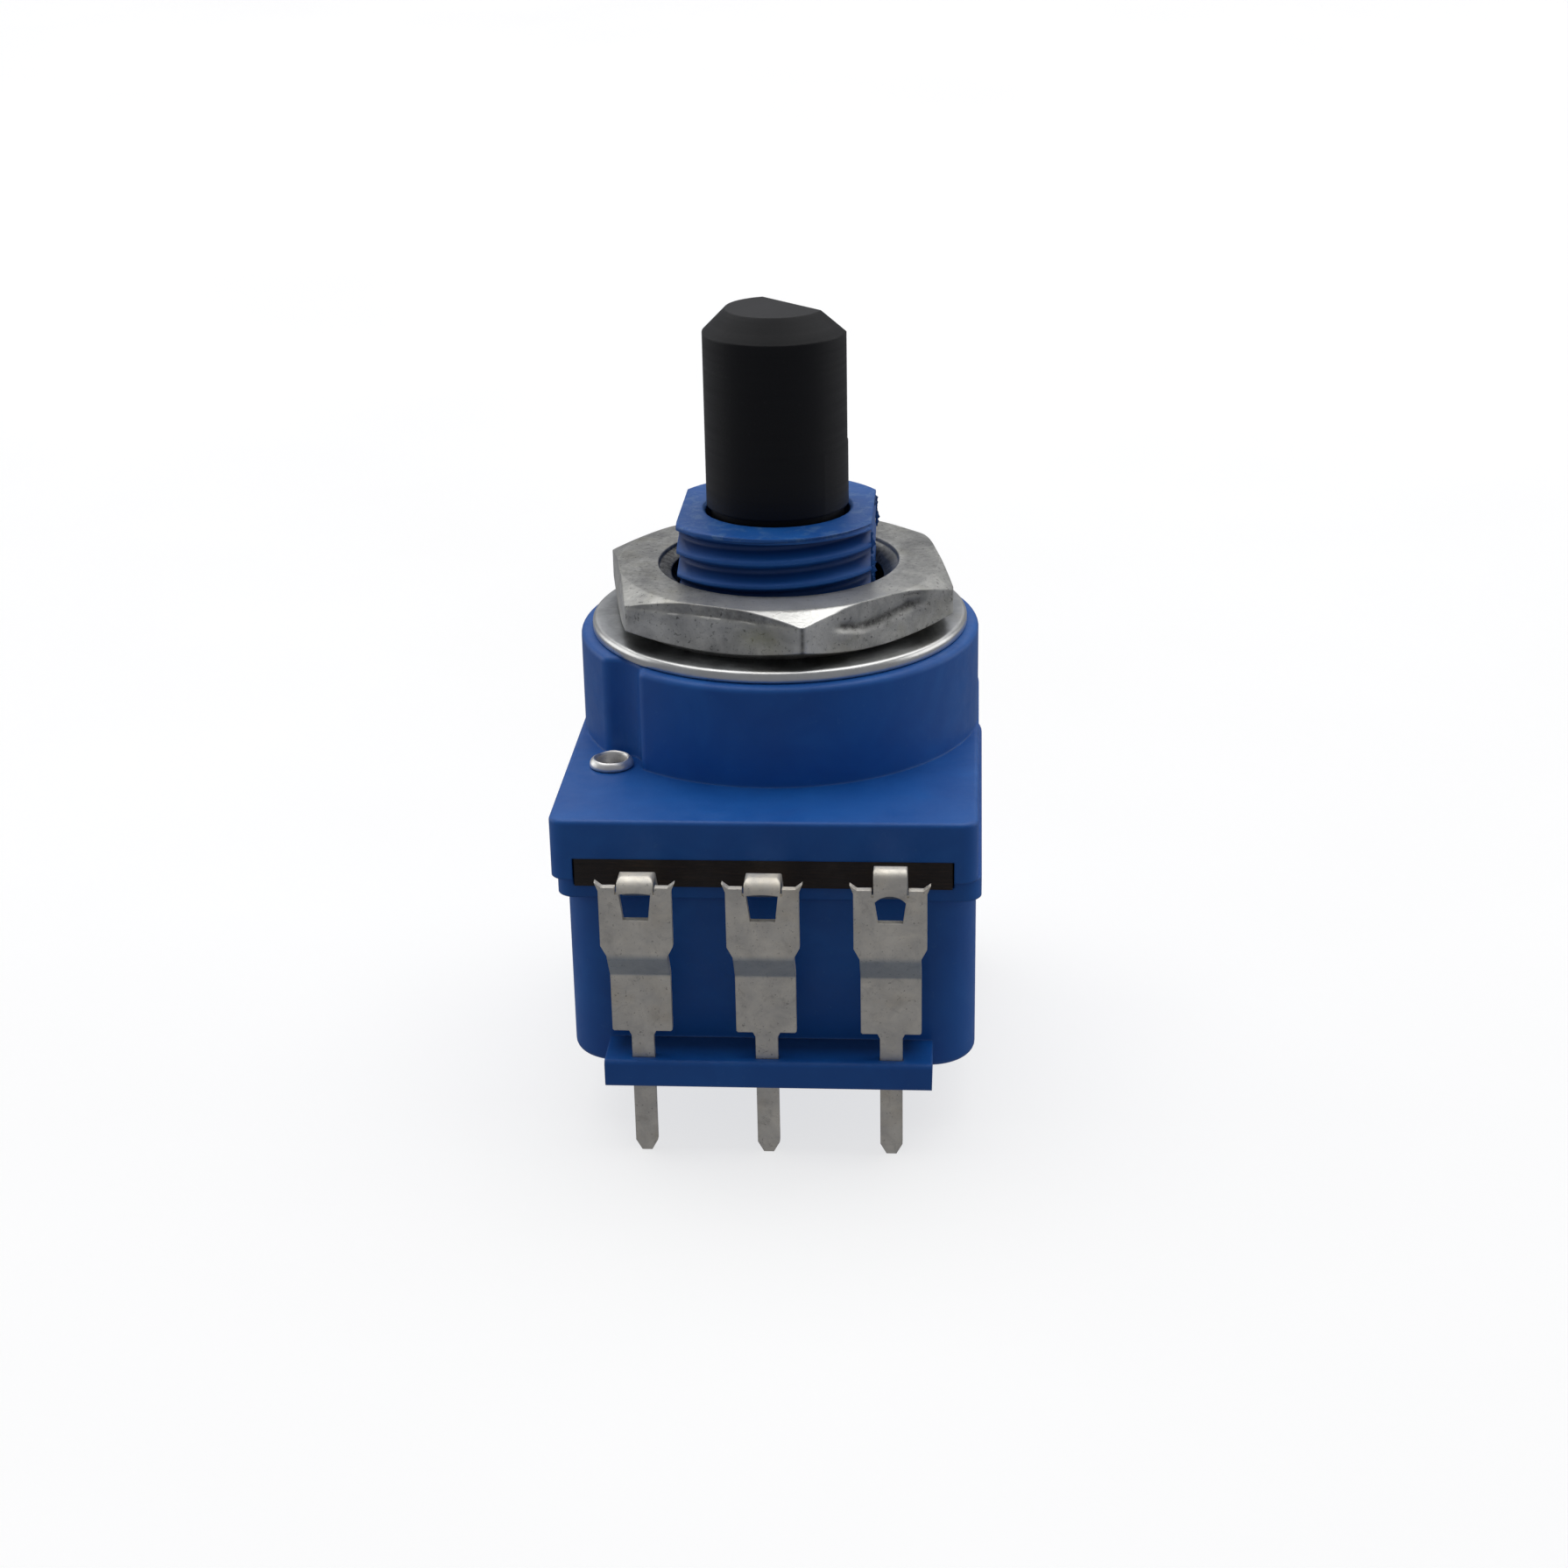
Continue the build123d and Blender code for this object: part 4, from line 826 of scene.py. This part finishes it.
def turned_sheet(name, profile, material):
    """Sheet swept round the vertical axis from a list of (radius, height)."""
    rows = len(profile)
    vertices, faces = [], []
    for c in range(STUDIO_COLUMNS):
        a = math.tau * c / STUDIO_COLUMNS
        vertices += [(r * math.cos(a), r * math.sin(a), z) for r, z in profile]
        here, there = c * rows, (c + 1) % STUDIO_COLUMNS * rows
        for k in range(rows - 1):
            faces.append((here + k, here + k + 1, there + k + 1, there + k))
    return new_object(name, vertices, faces, material)


def cove_profile(start, cove, top, height):
    """Floor edge that curves up a quarter turn into a wall, as (radius, height) pairs."""
    steps = 12
    curve = []
    for i in range(steps + 1):
        a = math.radians(90.0 * i / steps)
        curve.append((start + cove * math.sin(a), height + cove * (1.0 - math.cos(a))))
    return curve + [(start + cove, height + top)]


floor_height = cad_low.z - FLOOR_GAP
pale_floor = studio_floor("pale_floor")
floor = disc("studio_floor", FLOOR_RADIUS, floor_height, pale_floor)
wall_profile = cove_profile(WALL_START, WALL_COVE, WALL_HEIGHT, floor_height)
wall = turned_sheet("studio_wall", wall_profile, pale_floor)
wall.visible_shadow = False
for sheet in (floor, wall):
    sheet.visible_diffuse = False
    sheet.visible_glossy = False

world = bpy.data.worlds.new("studio_world")
world.use_nodes = True
background = world.node_tree.nodes["Background"]
background.inputs["Color"].default_value = (*SKY_COLOUR, 1.0)
background.inputs["Strength"].default_value = SKY_STRENGTH
scene.world = world


def softbox(name, size, place, radiance):
    """Rectangular light in metres that looks at the part; radiance in W per sr and square metre."""
    light = bpy.data.lights.new(name, "AREA")
    light.shape = "RECTANGLE"
    light.size, light.size_y = size
    light.energy = radiance * math.pi * size[0] * size[1]
    obj = bpy.data.objects.new(name, light)
    obj.location = place
    obj.rotation_mode = "QUATERNION"
    obj.rotation_quaternion = (-Vector(place)).to_track_quat("-Z", "Y")
    scene.collection.objects.link(obj)


softbox("light_top", (1.0, 0.8), (0.0, 0.21, 0.60), 1.55)
softbox("light_left", (0.7, 0.6), (-0.80, 0.25, 0.22), 1.20)
softbox("light_right", (0.7, 0.6), (0.80, 0.25, 0.22), 1.20)
softbox("light_back", (1.2, 0.25), (0.0, 1.10, 0.42), 0.38)

yaw, tilt, roll = (math.radians(v) for v in (CAMERA_YAW, CAMERA_ELEVATION, CAMERA_ROLL))
back = Vector((math.sin(yaw) * math.cos(tilt), -math.cos(yaw) * math.cos(tilt), math.sin(tilt)))
level = Vector((math.cos(yaw), math.sin(yaw), 0.0))
upright = back.cross(level)
right = level * math.cos(roll) + upright * math.sin(roll)
up = upright * math.cos(roll) - level * math.sin(roll)
aim = Vector(mm(0.0, 0.0, FLANGE_TOP)) + right * AIM_RIGHT * MM + up * AIM_UP * MM
camera = bpy.data.objects.new("camera", bpy.data.cameras.new("camera"))
camera.data.lens = CAMERA_LENS
camera.data.sensor_width = SENSOR_WIDTH
camera.data.clip_start, camera.data.clip_end = CLIP_START, CLIP_END
camera.matrix_world = Matrix((
    (right.x, up.x, back.x, 0.0),
    (right.y, up.y, back.y, 0.0),
    (right.z, up.z, back.z, 0.0),
    (0.0, 0.0, 0.0, 1.0),
))
camera.location = aim + back * CAMERA_DISTANCE * MM
scene.collection.objects.link(camera)
scene.camera = camera
scene.view_settings.view_transform = "Standard"
